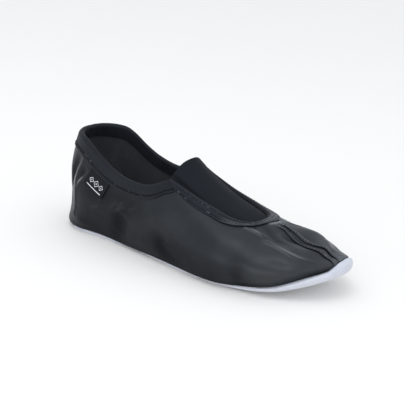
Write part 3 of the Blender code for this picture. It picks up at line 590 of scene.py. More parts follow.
def feltFinish():
    look = feltLook
    material, shader, place = newFinish("greyFelt", {
        "Roughness": look["rough"], "Sheen Weight": look["sheen"], "Specular IOR Level": look["gloss"]})
    fibres = place.noise(*look["fibre"])
    feed(shader, colour=fibres.mixed(look["shade"], look["light"]),
         normal=bumped(fibres, look["depth"], look["risePart"]))
    return material


# Woven label: black satin ground with a plain lozenge motif in pale thread, on (along, down) in millimetres
labelLook = {"ground": (0.0075, 0.0090, 0.0115), "motif": (0.66, 0.67, 0.70), "middle": (9.5, 6.2),
             "spacing": 5.0, "lozenges": (2.375, 1.9), "hearts": (0.7, 0.49), "line": 0.288,
             "bar": (10.6, 7.4, 0.34), "warp": 0.45, "weft": 0.75, "fuzz": (2400, 2.0), "gloss": 0.12,
             "threadLeast": 0.72, "threadFuzz": 0.45, "rough": 0.5, "fuzzRough": 0.2,
             "weaveRise": 0.25, "fuzzRise": 0.4, "motifRise": 1.2, "depth": 0.00009, "risePart": 0.8}


def labelFinish():
    look = labelLook
    material, shader, place = newFinish("wovenLabel", {"Specular IOR Level": look["gloss"]})
    along, down, face = place.attribute("cloth")
    row = abs(down - look["middle"][1])
    inRow = abs(along - look["middle"][0])
    level, reach, half = look["bar"]
    motif = (abs(down - level) < half) * (inRow < reach)
    lozenges = zip((inRow, abs(inRow - look["spacing"])), look["lozenges"], look["hearts"])
    for away, lozenge, heart in lozenges:  # the middle one, then the two beside it
        motif = motif.larger(abs(away + row - lozenge) < look["line"]).larger(away + row < heart)
    motif = motif * (face > 0.5)
    threads = (along * (2 * math.pi / look["warp"])).sine() + (down * (2 * math.pi / look["weft"])).sine()
    fuzz = place.noise(*look["fuzz"])
    wearAndPaintedHighlight = motif * (look["threadLeast"] + fuzz * look["threadFuzz"])
    rise = threads * look["weaveRise"] + fuzz * look["fuzzRise"] + motif * look["motifRise"]
    feed(shader, colour=wearAndPaintedHighlight.mixed(look["ground"], look["motif"]),
         rough=look["rough"] + fuzz * look["fuzzRough"], normal=bumped(rise, look["depth"], look["risePart"]))
    return material


finishes = {
    "leather": leatherFinish(),
    "band": wovenFinish("blackBand", bandLook),
    "tape": wovenFinish("blackTape", tapeLook),
    "elastic": wovenFinish("blackElastic", elasticLook),
    "lining": wovenFinish("charcoalLining", liningLook),
    "thread": threadFinish(),
    "suede": suedeFinish(),
    "felt": feltFinish(),
    "label": labelFinish(),
}
print("finishes made:", len(finishes))


class Pattern:
    # grids of points that will be sewn into one mesh, with each point's place in the cloth
    def __init__(self):
        self.points, self.faces, self.cloth, self.count = [], [], [], 0

    def grid(self, points, cloth=None, loop=False):
        rows, columns = points.shape[:2]
        index = np.arange(rows * columns).reshape(rows, columns) + self.count
        if loop:
            index = np.concatenate([index, index[:, :1]], axis=1)
        quads = np.stack([index[:-1, :-1], index[:-1, 1:], index[1:, 1:], index[1:, :-1]], -1)
        self.faces += quads.reshape(-1, 4).tolist()
        self.points.append(points.reshape(-1, 3))
        self.cloth.append(np.zeros((rows * columns, 3)) if cloth is None else cloth.reshape(-1, 3))
        self.count += rows * columns
        return index

    def bridge(self, near, far):
        self.faces += np.stack([near[:-1], near[1:], far[1:], far[:-1]], -1).tolist()

    def tube(self, points, cloth):
        # a closed section drawn along a path, with both its ends filled
        ring = self.grid(points, cloth, loop=True)
        self.faces += [ring[end, :-1].tolist() for end in (0, -1)]

    def slab(self, outer, inner, clothOuter=None, clothInner=None, endWalls=True):
        # a closed plate between two grids; rows that close on themselves need no end walls
        front, rear = self.grid(outer, clothOuter), self.grid(inner, clothInner)
        walls = [(front[:, 0], rear[:, 0]), (front[:, -1], rear[:, -1])]
        if endWalls:
            walls += [(front[0], rear[0]), (front[-1], rear[-1])]
        for near, far in walls:
            self.bridge(near, far)

    def wall(self, outer, inner, cloth, openRows):
        # half of a shell, closed along its bottom and along its top as far as the top is open
        front, rear = self.grid(outer, cloth), self.grid(inner, cloth)
        self.bridge(front[:, 0], rear[:, 0])
        self.bridge(front[:openRows, -1], rear[:openRows, -1])


def linked(name, data):
    thing = bpy.data.objects.new(name, data)
    bpy.context.scene.collection.objects.link(thing)
    return thing


def mark(data, name, vectors):
    # keeps three values at each point of a mesh
    layer = data.attributes.new(name, "FLOAT_VECTOR", "POINT")
    layer.data.foreach_set("vector", vectors.astype(np.float32).ravel())


sewing = {"weld": 0.002, "sharp": 55}  # points this near are joined, and edges sharper than this stay sharp


def sew(name, pattern, finish):
    # welds a pattern's grids into one closed mesh object, in metres
    weld = sewing["weld"] * mm
    data = bpy.data.meshes.new(name)
    data.from_pydata((np.concatenate(pattern.points) * mm).tolist(), [], pattern.faces)
    mark(data, "cloth", np.concatenate(pattern.cloth))
    shell = bmesh.new()
    shell.from_mesh(data)
    bmesh.ops.remove_doubles(shell, verts=shell.verts, dist=weld)
    bmesh.ops.dissolve_degenerate(shell, edges=shell.edges, dist=weld)
    bmesh.ops.recalc_face_normals(shell, faces=shell.faces)
    shell.to_mesh(data)
    shell.free()
    data.shade_smooth()
    data.set_sharp_from_angle(angle=math.radians(sewing["sharp"]))
    data.materials.append(finishes[finish])
    return linked(name, data)


def settle(piece, slot, *nodes):
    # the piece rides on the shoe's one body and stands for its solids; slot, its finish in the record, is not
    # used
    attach(piece, "root")
    if nodes:
        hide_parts(*nodes)
    print(piece.name, "has", len(piece.data.polygons), "faces")


def heelStations(count):
    # places round the heel in millimetres, closer together towards its back
    return lastForm["heelRound"] * (1 - np.cos(np.linspace(0, math.pi / 2, count, endpoint=False)))


def toeStations(count, end=1.0):
    # places round the toe in millimetres, as far as a share of the length
    last = math.asin((end * lastForm["length"] - toeStart) / lastForm["toeRound"])
    return toeStart + lastForm["toeRound"] * np.sin(np.linspace(0, last, count))


# The leather upper
upperCut = {"heelRows": 56, "quarterRows": 70, "straightRows": 36, "roundRows": 40, "vampRows": 12,
            "toeRows": 58, "girthRows": 80, "fineRows": 140, "seamTuck": 1.3, "tuckSpan": 3.6}


def upperStations():
    # places along the upper with the throat's tip among them, and the top edge's angle on each side
    cut, straight = upperCut, lastForm["straightShare"]
    quarter = np.linspace(lastForm["heelRound"], lastForm["throatStart"], cut["quarterRows"], endpoint=False)
    shares = np.concatenate([np.linspace(0, straight, cut["straightRows"], endpoint=False),
                             np.linspace(straight, 1, cut["roundRows"], endpoint=False)])
    vamp = np.linspace(lastForm["throatTip"], toeStart, cut["vampRows"], endpoint=False)
    toe = toeStations(cut["toeRows"], lastForm["leatherTip"])
    collarAlong = np.concatenate([heelStations(cut["heelRows"]), quarter]) / lastForm["length"]
    closedAlong = np.concatenate([vamp, toe]) / lastForm["length"]
    tops = {side: np.concatenate([collarTurn(collarAlong, 0.0), throatPlace(shares, side)[1],
                                  np.full(len(closedAlong), 90.0)]) for side in (lateral, medial)}
    return np.concatenate([collarAlong, throatPlace(shares, lateral)[0], closedAlong]), tops


def girthTurns(along, bottom, top, side, count):
    # angles that divide each section evenly from the sole seam to the top edge, with the distance run
    fine = bottom[:, None] + (top - bottom)[:, None] * np.linspace(0, 1, upperCut["fineRows"])
    steps = np.linalg.norm(np.diff(lastPoint(along[:, None], fine, side), axis=1), axis=2)
    run = np.concatenate([np.zeros((len(along), 1)), np.cumsum(steps, axis=1)], axis=1)
    share = np.linspace(0, 1, count + 1)
    turns = np.array([np.interp(share * row[-1], row, turn) for row, turn in zip(run, fine)])
    return turns, share * run[:, -1:]


def seamPucker(place, run):
    # small waves that the sole seam draws into the leather round the toe
    form, ahead = leatherRelief, place * lastForm["length"]
    waves = np.sin(2 * math.pi * ahead / form["puckerSpan"] * (1 + endRounds(place)[1]))
    waves = waves * bell(run, 0, form["puckerReach"]) * ease(run / form["puckerClear"])
    return form["puckerDepth"] * waves * ease((ahead - form["puckerFrom"]) / form["puckerFade"])


def makeUpper():
    cut = upperCut
    along, tops = upperStations()
    openRows = cut["heelRows"] + cut["quarterRows"] + cut["straightRows"] + cut["roundRows"] + 1
    shell = Pattern()
    for side in (lateral, medial):
        bottom = featherTurn(along, side, lastForm["gap"] / 2)
        turns, run = girthTurns(along, bottom, tops[side], side, cut["girthRows"])
        place = np.broadcast_to(along[:, None], turns.shape)
        sunk = cut["seamTuck"] * np.clip(1 - run / cut["tuckSpan"], 0, 1) ** 2 + seamPucker(place, run)
        outer, inner = (leatherPoint(place, turns, side, depth + sunk) for depth in (0, lastForm["leather"]))
        shine = leatherShine(lastPoint(place, turns, side))
        shell.wall(outer, inner, np.stack([place * lastForm["length"], run, shine], -1), openRows)
    return sew("leatherUpper", shell, "leather")


settle(makeUpper(), "upper_leather", "upper")


# The pale suede sole and the insole
soleCut = {"heelRows": 28, "middleRows": 92, "toeRows": 70, "rimRows": 14, "bottomRows": 26, "rimTurn": 4.0,
           "proud": 1.5, "proudRise": 1.6, "edgeTurnIn": 0.45, "edgeRound": (1, 0.45, 0.2, 0.08, 0.02),
           "paleRim": 2}
insoleCut = {"thickness": 1.2, "setback": 8.0, "rows": 30}


def soleStations():
    heel, toe = heelStations(soleCut["heelRows"]), toeStations(soleCut["toeRows"])
    middle = np.linspace(lastForm["heelRound"], toeStart, soleCut["middleRows"], endpoint=False)
    return np.concatenate([heel, middle, toe]) / lastForm["length"]


def soleHalf(along, side, depth, proud, turnIn):
    # half of one face of the sole, from its rim over the corner to the middle of the bottom
    cut = soleCut
    openRim = along < lastForm["soleClose"]
    rim = np.where(openRim, featherTurn(along, side, -lastForm["gap"] / 2), 90)
    corner = np.minimum(rim - cut["rimTurn"], -90)
    down = np.linspace(0, 1, cut["rimRows"], endpoint=False)
    under = np.linspace(0, 1, cut["bottomRows"] + 1)
    turns = np.concatenate([rim[:, None] + (corner - rim)[:, None] * down,
                            corner[:, None] + (-180 - corner)[:, None] * under], axis=1)
    place = np.broadcast_to(along[:, None], turns.shape)
    push = proud[:, None] * np.cos(np.radians(np.maximum(turns, -90)))
    edge = np.zeros(turns.shape[1])
    edge[:len(cut["edgeRound"])] = turnIn * np.array(cut["edgeRound"])
    return lastPoint(place, turns, side, depth + edge * openRim[:, None] - push)


def soleSheet(along, depth, proud, turnIn):
    # one face of the sole, from rim to rim
    left, right = (soleHalf(along, side, depth, proud, turnIn) for side in (lateral, medial))
    return np.concatenate([left, right[:, -2::-1]], axis=1)


def makeSole():
    cut, along = soleCut, soleStations()
    proud = cut["proud"] * endRounds(along)[1] ** cut["proudRise"]
    outer = soleSheet(along, 0.0, proud, cut["edgeTurnIn"])
    inner = soleSheet(along, lastForm["soleThickness"], 0 * proud, 0.0)
    cloth = np.zeros(inner.shape)
    cloth[:, cut["paleRim"]:-cut["paleRim"], 2] = 1  # the inside is dark, up to the rim
    shell = Pattern()
    bottom, top = shell.grid(outer), shell.grid(inner, cloth)
    rimEnd = np.flatnonzero(along >= lastForm["soleClose"])[0] + 1  # past it the two rims meet over the toe
    for edge in (0, -1):
        shell.bridge(bottom[:rimEnd, edge], top[:rimEnd, edge])
    return sew("suedeSole", shell, "suede")


def makeInsole():
    along = soleStations()
    edge = np.minimum(featherLine(along) - insoleCut["setback"], -90)
    step = np.linspace(-1, 1, insoleCut["rows"] + 1)
    turns = -180 + (edge + 180)[:, None] * abs(step)
    side = np.where(step > 0, medial, lateral)
    base = lastForm["soleThickness"] + lastForm["gap"]
    shell = Pattern()
    shell.slab(lastPoint(along[:, None], turns, side, base),
               lastPoint(along[:, None], turns, side, base + insoleCut["thickness"]), endWalls=False)
    return sew("feltInsole", shell, "felt")


settle(makeSole(), "sole_suede", "outsole")
settle(makeInsole(), "insole_felt", "insole")


# The lining, a thin cloth against the inside of the leather
liningCut = {"depth": 1.62, "thickness": 0.18, "belowEdge": 1.2, "aboveSeam": 0.8, "girthRows": 34,
             "every": 2, "closedTurn": 89.9, "steepest": 89}


def makeLining():
    cut = liningCut
    along, tops = upperStations()
    along, tops = along[::cut["every"]], {side: top[::cut["every"]] for side, top in tops.items()}
    openRows = np.flatnonzero(tops[lateral] >= cut["closedTurn"])[0] + 1
    shell = Pattern()
    for side, top in tops.items():
        lower = top - turnFor(along, np.minimum(top, cut["steepest"]), side, cut["belowEdge"])
        top = np.where(top < cut["closedTurn"], lower, top)
        bottom = featherTurn(along, side, cut["aboveSeam"])
        turns, run = girthTurns(along, bottom, top, side, cut["girthRows"])
        place = np.broadcast_to(along[:, None], turns.shape)
        outer, inner = (leatherPoint(place, turns, side, cut["depth"] + deeper)
                        for deeper in (0, cut["thickness"]))
        shell.wall(outer, inner, np.stack([place * lastForm["length"], run, 0 * run], -1), openRows)
    return sew("clothLining", shell, "lining")


settle(makeLining(), "insole_felt")


# The collar band: a folded tape with a rolled top edge and a stitched hem, narrower towards the throat
collarCut = {"outer": 10.5, "inner": 9.0, "rows": 170, "outerRows": 46, "innerRows": 14, "crown": 0.18,
             "roll": 0.32, "rollAt": 1.3, "rollWidth": 1.5, "hem": 0.34, "hemBelow": 1.3, "hemWidth": 0.7,
             "channel": 8.2, "channelDepth": 0.75, "channelWidth": 0.85,
             "gather": 0.30, "gatherSpan": 4.3, "gatherDrift": ((2.1, 7.1), (1.2, 3.3)),
             "gatherUneven": (5.3, 1.7, 13.0), "gatherReach": 2.2,
             "slant": 8.5, "slantFrom": 92.0, "sink": 0.45, "sinkFrom": 0.7, "sinkBelow": 4.0}
foldForm = {"top": 0.3, "fullRows": 13, "halfFrom": 80, "halfRows": 7}


def bandProfile(shape, outer, rows, inner=0.0, innerRows=0):
    # closed section of a tape over the leather's edge: distance below the edge, depth, and whether a point is
    # shaped as the outside is; without an inner leg the tape ends on the edge
    leather, gap, top = lastForm["leather"], lastForm["gap"], foldForm["top"]
    ridge = gap + lastForm["tape"]
    if inner:
        swing = np.radians(np.linspace(90, -90, foldForm["fullRows"])[1:-1])
        legs = np.linspace(top, inner, innerRows)
        inside = [(legs, leather + ridge), (legs[::-1], leather + gap), (-gap, leather + gap)]
    else:
        swing = np.radians(np.linspace(foldForm["halfFrom"], 0, foldForm["halfRows"]))
        inside = [(-ridge, leather), (-gap, leather)]
    down, back = np.linspace(outer, top, rows), np.linspace(0.0, outer, rows // 3)[1:]
    fold = (-ridge * np.cos(swing), leather / 2 - (leather / 2 + ridge) * np.sin(swing))
    stretches = [(down, -ridge - shape(down)), fold, *inside, (-gap, -gap), (back, -gap)]
    below, depth = np.concatenate([np.broadcast_arrays(*np.atleast_1d(*pair)) for pair in stretches], axis=1)
    return below, depth, np.arange(len(below)) < rows


def clothOf(points, below, sheenMask=0.0):
    # place of each point in the tape: run along it, distance across it, and how much painted sheen pales it
    run = runAlong(points[:, len(below) // 4])
    return np.stack(np.broadcast_arrays(run[:, None], below, sheenMask), -1)


def collarShape(below):
    cut = collarCut
    roll = cut["roll"] * bell(below, cut["rollAt"], cut["rollWidth"])
    crown = cut["crown"] * np.sin(math.pi * np.clip(below / cut["channel"], 0, 1))
    channel = cut["channelDepth"] * bell(below, cut["channel"], cut["channelWidth"])
    hem = cut["hem"] * bell(below, cut["channel"] + cut["hemBelow"], cut["hemWidth"])
    return roll + crown + hem - channel


def collarRing():
    # the band's run from the lateral corner round the heel to the medial corner
    rows = collarCut["rows"]
    heelRows = rows // 3
    end = lastForm["throatStart"] - lastForm["gap"] / 2
    quarter = np.linspace(lastForm["heelRound"], end, rows - heelRows)
    half = np.concatenate([heelStations(heelRows), quarter]) / lastForm["length"]
    along = np.concatenate([half[::-1], half[1:]])
    return along, np.where(np.arange(len(along)) < rows, lateral, medial)


def gathers(run, below):
    # small irregular pleats where the hem's thread draws the band in
    cut = collarCut
    drift = sum(size * np.sin(run / span) for size, span in cut["gatherDrift"])
    span, sway, swaySpan = cut["gatherUneven"]
    uneven = 0.5 + 0.5 * np.sin(run / span + sway * np.sin(run / swaySpan))
    pleats = np.sin(2 * math.pi * run / cut["gatherSpan"] + drift) * uneven
    return cut["gather"] * pleats * bell(below, cut["channel"], cut["gatherReach"])


def collarPlace(along, below):
    # along and turn of a line in the band, whose end slants forwards under the tape, and how near that end is
    cut, ahead = collarCut, along * lastForm["length"]
    nearEnd = ease((ahead - cut["slantFrom"]) / (lastForm["throatStart"] - cut["slantFrom"]))
    slanted = (ahead + cut["slant"] * nearEnd * np.maximum(below, 0) / cut["outer"]) / lastForm["length"]
    return slanted, collarTurn(slanted, below * bandWidth(ahead) / cut["outer"]), nearEnd


def makeCollarBand():
    cut = collarCut
    along, side = collarRing()
    below, depth, shaped = bandProfile(collarShape, cut["outer"], cut["outerRows"],
                                       cut["inner"], cut["innerRows"])
    place, turns, nearEnd = collarPlace(along[:, None], below)
    cloth = clothOf(lastPoint(place, turns, side[:, None]), below)
    sink = cut["sink"] * ease((nearEnd - cut["sinkFrom"]) / (1 - cut["sinkFrom"]))
    sink = sink * ease(below / cut["sinkBelow"])
    depth = depth + (sink - gathers(cloth[..., 0], below)) * shaped
    shell = Pattern()
    shell.tube(leatherPoint(place, turns, side[:, None], depth), cloth)
    return sew("collarBand", shell, "band")


settle(makeCollarBand(), "binding_tape", "collar_binding")


# The throat tape, flat woven braid sewn over the raw edge, with painted sheen round the tip and on its outer
# edge
throatCut = {"width": 6.0, "rows": 150, "outerRows": 26, "crown": 0.18, "lip": 0.22,
             "lips": ((0.7, 0.6), (5.5, 0.5)), "slant": 6.0, "slantTo": 0.2, "lift": 0.35, "liftTo": 0.06,
             "pressed": 0.6, "pressedTo": 0.3, "pressedFade": 0.25, "pressedBelow": 2.0,
             "tipSheen": 0.9, "tipFrom": 0.78, "sheenAbove": 1.0, "sheenRise": 1.5,
             "edgeSheen": 0.6, "edgeFrom": 0.35, "edgeFade": 0.2, "edgeAcross": (0.25, 0.75)}


def throatShape(below):
    cut = throatCut
    crown = cut["crown"] * np.sin(math.pi * np.clip(below / cut["width"], 0, 1))
    return crown + cut["lip"] * sum(bell(below, place, width) for place, width in cut["lips"])


def throatRing():
    # shares of the throat's edge, from the lateral corner round the tip to the medial corner
    rows = throatCut["rows"]
    first = lastForm["gap"] / 2 / (lastForm["throatRound"] - lastForm["throatStart"])
    half = np.maximum(np.linspace(0, 1, rows), first)
    return np.concatenate([half, half[-2::-1]]), np.where(np.arange(2 * rows - 1) < rows, lateral, medial)


def tapePlace(share, side, below):
    # along and turn of a line in the tape, which starts on a slant over the end of the collar band
    cut = throatCut
    straightRun = lastForm["throatRound"] - lastForm["throatStart"]
    slant = cut["slant"] / straightRun * lastForm["straightShare"] * np.clip(below / cut["width"], 0, 1)
    width = np.where(side < 0, lateralTape(share), medialTape(share))
    grow = np.where(below > 0, below * width / cut["width"], below)
    return throatPlace(share + slant * (1 - ease(share / cut["slantTo"])), side, grow)


def paintedTapeSheen(share, side, below):
    # painted sheen: the lateral tape is painted pale round the tip and along its outer edge, the medial one
    # all over
    cut = throatCut
    tip = np.where(side < 0, ease((share - cut["tipFrom"]) / (1 - cut["tipFrom"])), 1)
    near, far = cut["edgeAcross"]
    edge = ease((share - cut["edgeFrom"]) / cut["edgeFade"])
    edge = edge * ease((below / cut["width"] - near) / (far - near)) * (1 - tip)
    return cut["tipSheen"] * tip * ease((below + cut["sheenAbove"]) / cut["sheenRise"]) + cut["edgeSheen"] * edge


def makeThroatTape():
    cut = throatCut
    share, side = (values[:, None] for values in throatRing())
    below, depth, onTop = bandProfile(throatShape, cut["width"], cut["outerRows"])
    along, turns = tapePlace(share, side, below)
    cloth = clothOf(lastPoint(along, turns, side), below, paintedTapeSheen(share, side, below))
    pressed = cut["pressed"] * (1 - ease((share - cut["pressedTo"]) / cut["pressedFade"])) * onTop
    pressed = pressed * ease((below - cut["pressedBelow"]) / (cut["width"] - cut["pressedBelow"]))
    depth = depth - cut["lift"] * (1 - ease(share / cut["liftTo"])) + pressed
    shell = Pattern()
    shell.tube(leatherPoint(along, turns, side, depth), cloth)
    return sew("throatTape", shell, "tape")


settle(makeThroatTape(), "binding_tape", "throat_binding")


# Geometry node trees: stitches along a seam line, and ribs across a sheet
def newTree(name, inputs):
    # returns the tree, a wire for each of its named inputs, and its output node
    tree = bpy.data.node_groups.new(name, "GeometryNodeTree")
    for label, kind in {"Geometry": "NodeSocketGeometry", **inputs}.items():
        tree.interface.new_socket(label, in_out="INPUT", socket_type=kind)
    tree.interface.new_socket("Geometry", in_out="OUTPUT", socket_type="NodeSocketGeometry")
    start, result = tree.nodes.new("NodeGroupInput"), tree.nodes.new("NodeGroupOutput")
    return tree, {label: Wire(tree, start.outputs[label]) for label in ("Geometry", *inputs)}, result


def closeTree(shape, finish, result):
    # each tree ends in a plain mesh with its material
    real = shape.node("GeometryNodeRealizeInstances", None, {"Geometry": shape})
    dressed = shape.node("GeometryNodeSetMaterial", None, {"Geometry": real, "Material": finish})
    shape.tree.links.new(dressed.socket, result.inputs[0])


stitchBead = {"Segments": 8, "Rings": 5, "Radius": 0.5}  # stretched to each stitch's length and width


def stitchTree():
    sizes = ("Pitch", "Stitch Length", "Thread Width", "Slant", "Wobble")
    tree, given, result = newTree("stitchRun", {
        **dict.fromkeys(sizes, "NodeSocketFloat"), "Seed": "NodeSocketInt", "Thread": "NodeSocketMaterial"})
    seam, width = given["Geometry"], given["Thread Width"]
    line = seam.node("GeometryNodeMeshToCurve", None, {"Mesh": seam})
    holes = seam.node("GeometryNodeResampleCurve", {"mode": "LENGTH"},
                      {"Curve": line, "Length": given["Pitch"]})
    outward = seam.node("GeometryNodeInputNamedAttribute", {"data_type": "FLOAT_VECTOR"}, {"Name": "outward"})
    turn = seam.node("FunctionNodeAxesToRotation", {"primary_axis": "Z", "secondary_axis": "X"},
                     {0: outward, 1: seam.node("GeometryNodeInputTangent")})
    wobble = seam.node("FunctionNodeRandomValue", {"data_type": "FLOAT"},
                       {2: 0 - given["Wobble"], 3: given["Wobble"], "Seed": given["Seed"]}, out=1)
    swing = seam.node("FunctionNodeAxisAngleToRotation", None,
                      {"Axis": (0, 0, 1), "Angle": wobble + given["Slant"]})
    posed = seam.node("FunctionNodeRotateRotation", {"rotation_space": "LOCAL"}, {0: turn, 1: swing})
    size = seam.node("ShaderNodeCombineXYZ", None, {"X": given["Stitch Length"], "Y": width, "Z": width})
    bead = seam.node("GeometryNodeMeshUVSphere", None, stitchBead)
    bead = seam.node("GeometryNodeSetShadeSmooth", None, {"Geometry": bead})
    placed = seam.node("GeometryNodeInstanceOnPoints", None,
                       {"Points": holes, "Instance": bead, "Rotation": posed, "Scale": size})
    closeTree(placed, given["Thread"], result)
    return tree


def ribTree():
    tree, given, result = newTree("ribbedSheet", {
        "Rib Pitch": "NodeSocketFloat", "Rib Height": "NodeSocketFloat", "Finish": "NodeSocketMaterial"})
    sheet = given["Geometry"]
    cloth = sheet.node("GeometryNodeInputNamedAttribute", {"data_type": "FLOAT_VECTOR"}, {"Name": "cloth"})
    height = (cloth.split()[1] / given["Rib Pitch"] * (2 * math.pi)).sine() * given["Rib Height"]
    offset = sheet.node("ShaderNodeVectorMath", {"operation": "SCALE"},
                        {0: sheet.node("GeometryNodeInputNormal"), "Scale": height})
    moved = sheet.node("GeometryNodeSetPosition", None, {"Geometry": sheet, "Offset": offset})
    closeTree(moved, given["Finish"], result)
    return tree


trees = {"stitch": stitchTree(), "rib": ribTree()}


def grown(piece, tree, values):
    # runs a tree on a piece and keeps the result as a plain mesh
    modifier = piece.modifiers.new("grow", "NODES")
    modifier.node_group = tree
    sockets = {item.name: item.identifier for item in tree.interface.items_tree if item.in_out == "INPUT"}
    for name, value in values.items():
        modifier[sockets[name]] = value
    graph = bpy.context.evaluated_depsgraph_get()
    data = bpy.data.meshes.new_from_object(piece.evaluated_get(graph), depsgraph=graph)
    piece.modifiers.remove(modifier)
    piece.data = data
    data.name = piece.name
    return piece


# The elastic over the instep, with fine ribs that run to the toe
elasticCut = {"lap": 5.0, "hidden": 0.3, "thickness": 1.1, "bluntEnd": 0.97, "rows": 90, "columns": 120,
              "bulge": 1.1, "bulgeRise": 0.4, "bulgeEnd": 0.85, "bulgeFade": 0.4, "edgeTo": 0.5,
              "hollow": 3.4, "hollowAt": 0.285, "hollowWidth": 0.055, "hollowTo": 0.36,
              "ribPitch": 1.25, "ribHeight": 0.07, "ribsFrom": 20,
              "length": 68.0, "hem": 4.0, "hemHeight": 0.18, "hemSoft": 0.8}


def elasticSheet(shares, thickness, hemHeight):
    # one face of the panel, from its free edge to its blunt tip, with a lap under the leather on each side
    cut, gap, shares = elasticCut, lastForm["gap"], shares[:, None]
    inward = np.linspace(0, 1, cut["columns"] // 2 + 1)
    bare = np.clip((inward - cut["hidden"]) / (1 - cut["hidden"]), 0, 1)
    shift = elasticEdge(inward) * np.clip(1 - shares / cut["edgeTo"], 0, 1) ** 2
    raised = cut["bulge"] * ease((cut["bulgeEnd"] - shares) / cut["bulgeFade"])
    raised = raised * ease(bare / cut["bulgeRise"])
    hollow = cut["hollow"] * bell(inward, cut["hollowAt"], cut["hollowWidth"])
    hollow = hollow * (1 - ease(shares / cut["hollowTo"]))
    hem = hemHeight * ease((cut["hem"] - shares * cut["length"]) / cut["hemSoft"] + 0.5)
    depth = lastForm["leather"] + gap + gap / 2 - raised + hollow + thickness - hem
    halves = []
    for side in (lateral, medial):
        along, edge = throatPlace(shares, side, cut["lap"])
        turns = edge + (90 - edge) * inward
        halves.append(lastPoint(along + shift / lastForm["length"], turns, side, depth))
    return np.concatenate([halves[0], halves[1][:, -2::-1]], axis=1)


def makeElastic():
    cut = elasticCut
    first = lastForm["gap"] / (lastForm["throatRound"] - lastForm["throatStart"])
    shares = np.concatenate([[first], np.linspace(0, cut["bluntEnd"], cut["rows"] + 1)[1:]])
    outer, inner = elasticSheet(shares, 0.0, cut["hemHeight"]), elasticSheet(shares, cut["thickness"], 0.0)
    run, across = runAlong(outer[:, cut["columns"] // 2]), runAlong(outer[cut["ribsFrom"]])
    cloth = np.stack(np.broadcast_arrays(run[:, None], across, 0.0), -1)
    shell = Pattern()
    shell.slab(outer, inner, cloth, cloth)
    sheet = sew("instepElastic", shell, "elastic")
    return grown(sheet, trees["rib"], {"Rib Pitch": cut["ribPitch"], "Rib Height": cut["ribHeight"] * mm,
                                       "Finish": finishes["elastic"]})


settle(makeElastic(), "instep_elastic", "elastic_gusset")


# The two pin tucks on the vamp: folds of the leather, laid over to the lateral side
tuckCut = {"start": 184.5, "end": 235.5, "spacing": 9.0, "rows": 120, "width": 3.8, "height": 0.9,
           "fade": 7.0, "endFade": 3.5, "least": 0.1, "fromSeam": 30.0, "backRows": 14, "backRound": 0.8,
           "nose": 0.6, "noseTo": 190, "noseRows": 9, "under": ((0.9, -0.25), (2.28, -0.35), (3.8, -0.35)),
           lateral: ((183, 4.2), (187, 4.2), (192, 4.0), (198, 2.2), (203, 0.3), (208, -1.9), (213, -3.3),
                     (217, -2.9), (221, -1.4), (225, -0.8), (229, -1.4), (234, -5)),
           medial: ((183, 0.6), (187, 0.6), (191, 0.2), (195, -1.1), (199, -2.1), (204, -3.6), (208, -4.5),
                    (212, -5.3), (215, -5.1), (218.5, -3.6), (222, -1.2), (226, -0.4), (230, -1.8),
                    (234, -6.5)),
           "crestShine": (1.8, 1.3, 0.47), "footShade": (3.2, 0.4, -0.32)}


def tuckLine(side, ahead):
    # distance of the fold from the middle line
    return side * tuckCut["spacing"] / 2 + smoothCurve(tuckCut[side])(ahead)


def tuckProfile():
    # the fold's section: (across from the fold's edge towards the medial side, height above the leather)
    cut, nose, radius = tuckCut, tuckCut["nose"], tuckCut["height"] / 2
    back = np.linspace(cut["width"], nose, cut["backRows"])
    slope = cut["height"] * ease(1 - (back - nose) / (cut["width"] - nose)) ** cut["backRound"]
    swing = np.radians(np.linspace(90, cut["noseTo"], cut["noseRows"])[1:])
    edge = np.stack([nose + radius * np.cos(swing), radius + radius * np.sin(swing)], -1)
    return np.concatenate([np.stack([back, slope], -1), edge, cut["under"]]).T


def acrossPoint(ahead, across, depth):
    # a point on the creased vamp by its distance from the middle line, either side
    along = ahead / lastForm["length"]
    side = np.where(across < 0, lateral, medial)
    turn = turnAtWidth(along, side, abs(across))
    return leatherPoint(*np.broadcast_arrays(along, turn, side, depth))


def makeTuck(name, side):
    cut = tuckCut
    ahead = np.linspace(cut["start"], cut["end"], cut["rows"])[:, None]
    across, height = tuckProfile()
    fade = ease((ahead - cut["start"]) / cut["fade"]) * ease((cut["end"] - ahead) / cut["endFade"])
    fade = cut["least"] + (1 - cut["least"]) * fade
    raised = np.where(height > 0, height * fade, height)
    # the crest's shine paints a pale painted highlight along the fold; the foot's minus only dulls the coat
    shine = sum(gain * bell(across, place, width)
                for place, width, gain in (cut["crestShine"], cut["footShade"]))
    shell = Pattern()
    shell.tube(acrossPoint(ahead, tuckLine(side, ahead) + across, -raised),
               np.stack(np.broadcast_arrays(ahead, cut["fromSeam"], shine), -1))
    return sew(name, shell, "leather")


settle(makeTuck("lateralTuck", lateral), "upper_leather", "vamp_tuck_lateral")
settle(makeTuck("medialTuck", medial), "upper_leather", "vamp_tuck_medial")


# The woven label that hangs from the collar band
labelCut = {"start": 39.5, "width": 19.0, "drop": 13.3, "slant": 7.0, "thickness": 0.7, "rows": 30,
            "columns": 44, "curl": 0.7, "curlBack": 0.6, "tuckUp": 1.2, "roundFrom": 0.94}


def labelSheet(drops, ahead, depth):
    # one face of the label, which hangs from the band's edge and curls away from the leather
    cut, length = labelCut, lastForm["length"]
    top = cut["start"] + cut["width"] * ahead
    topTurn = collarTurn(top / length, bandWidth(top) + lastForm["gap"])
    height = lastPoint(top / length, topTurn, lateral)[:, 2]
    along = (top - cut["slant"] * drops) / length
    turns = turnAtHeight(along, height - cut["drop"] * drops)
    lift = cut["curl"] * drops ** 2 * (cut["curlBack"] + (1 - cut["curlBack"]) * ahead)
    return leatherPoint(along, turns, lateral, depth - lift)


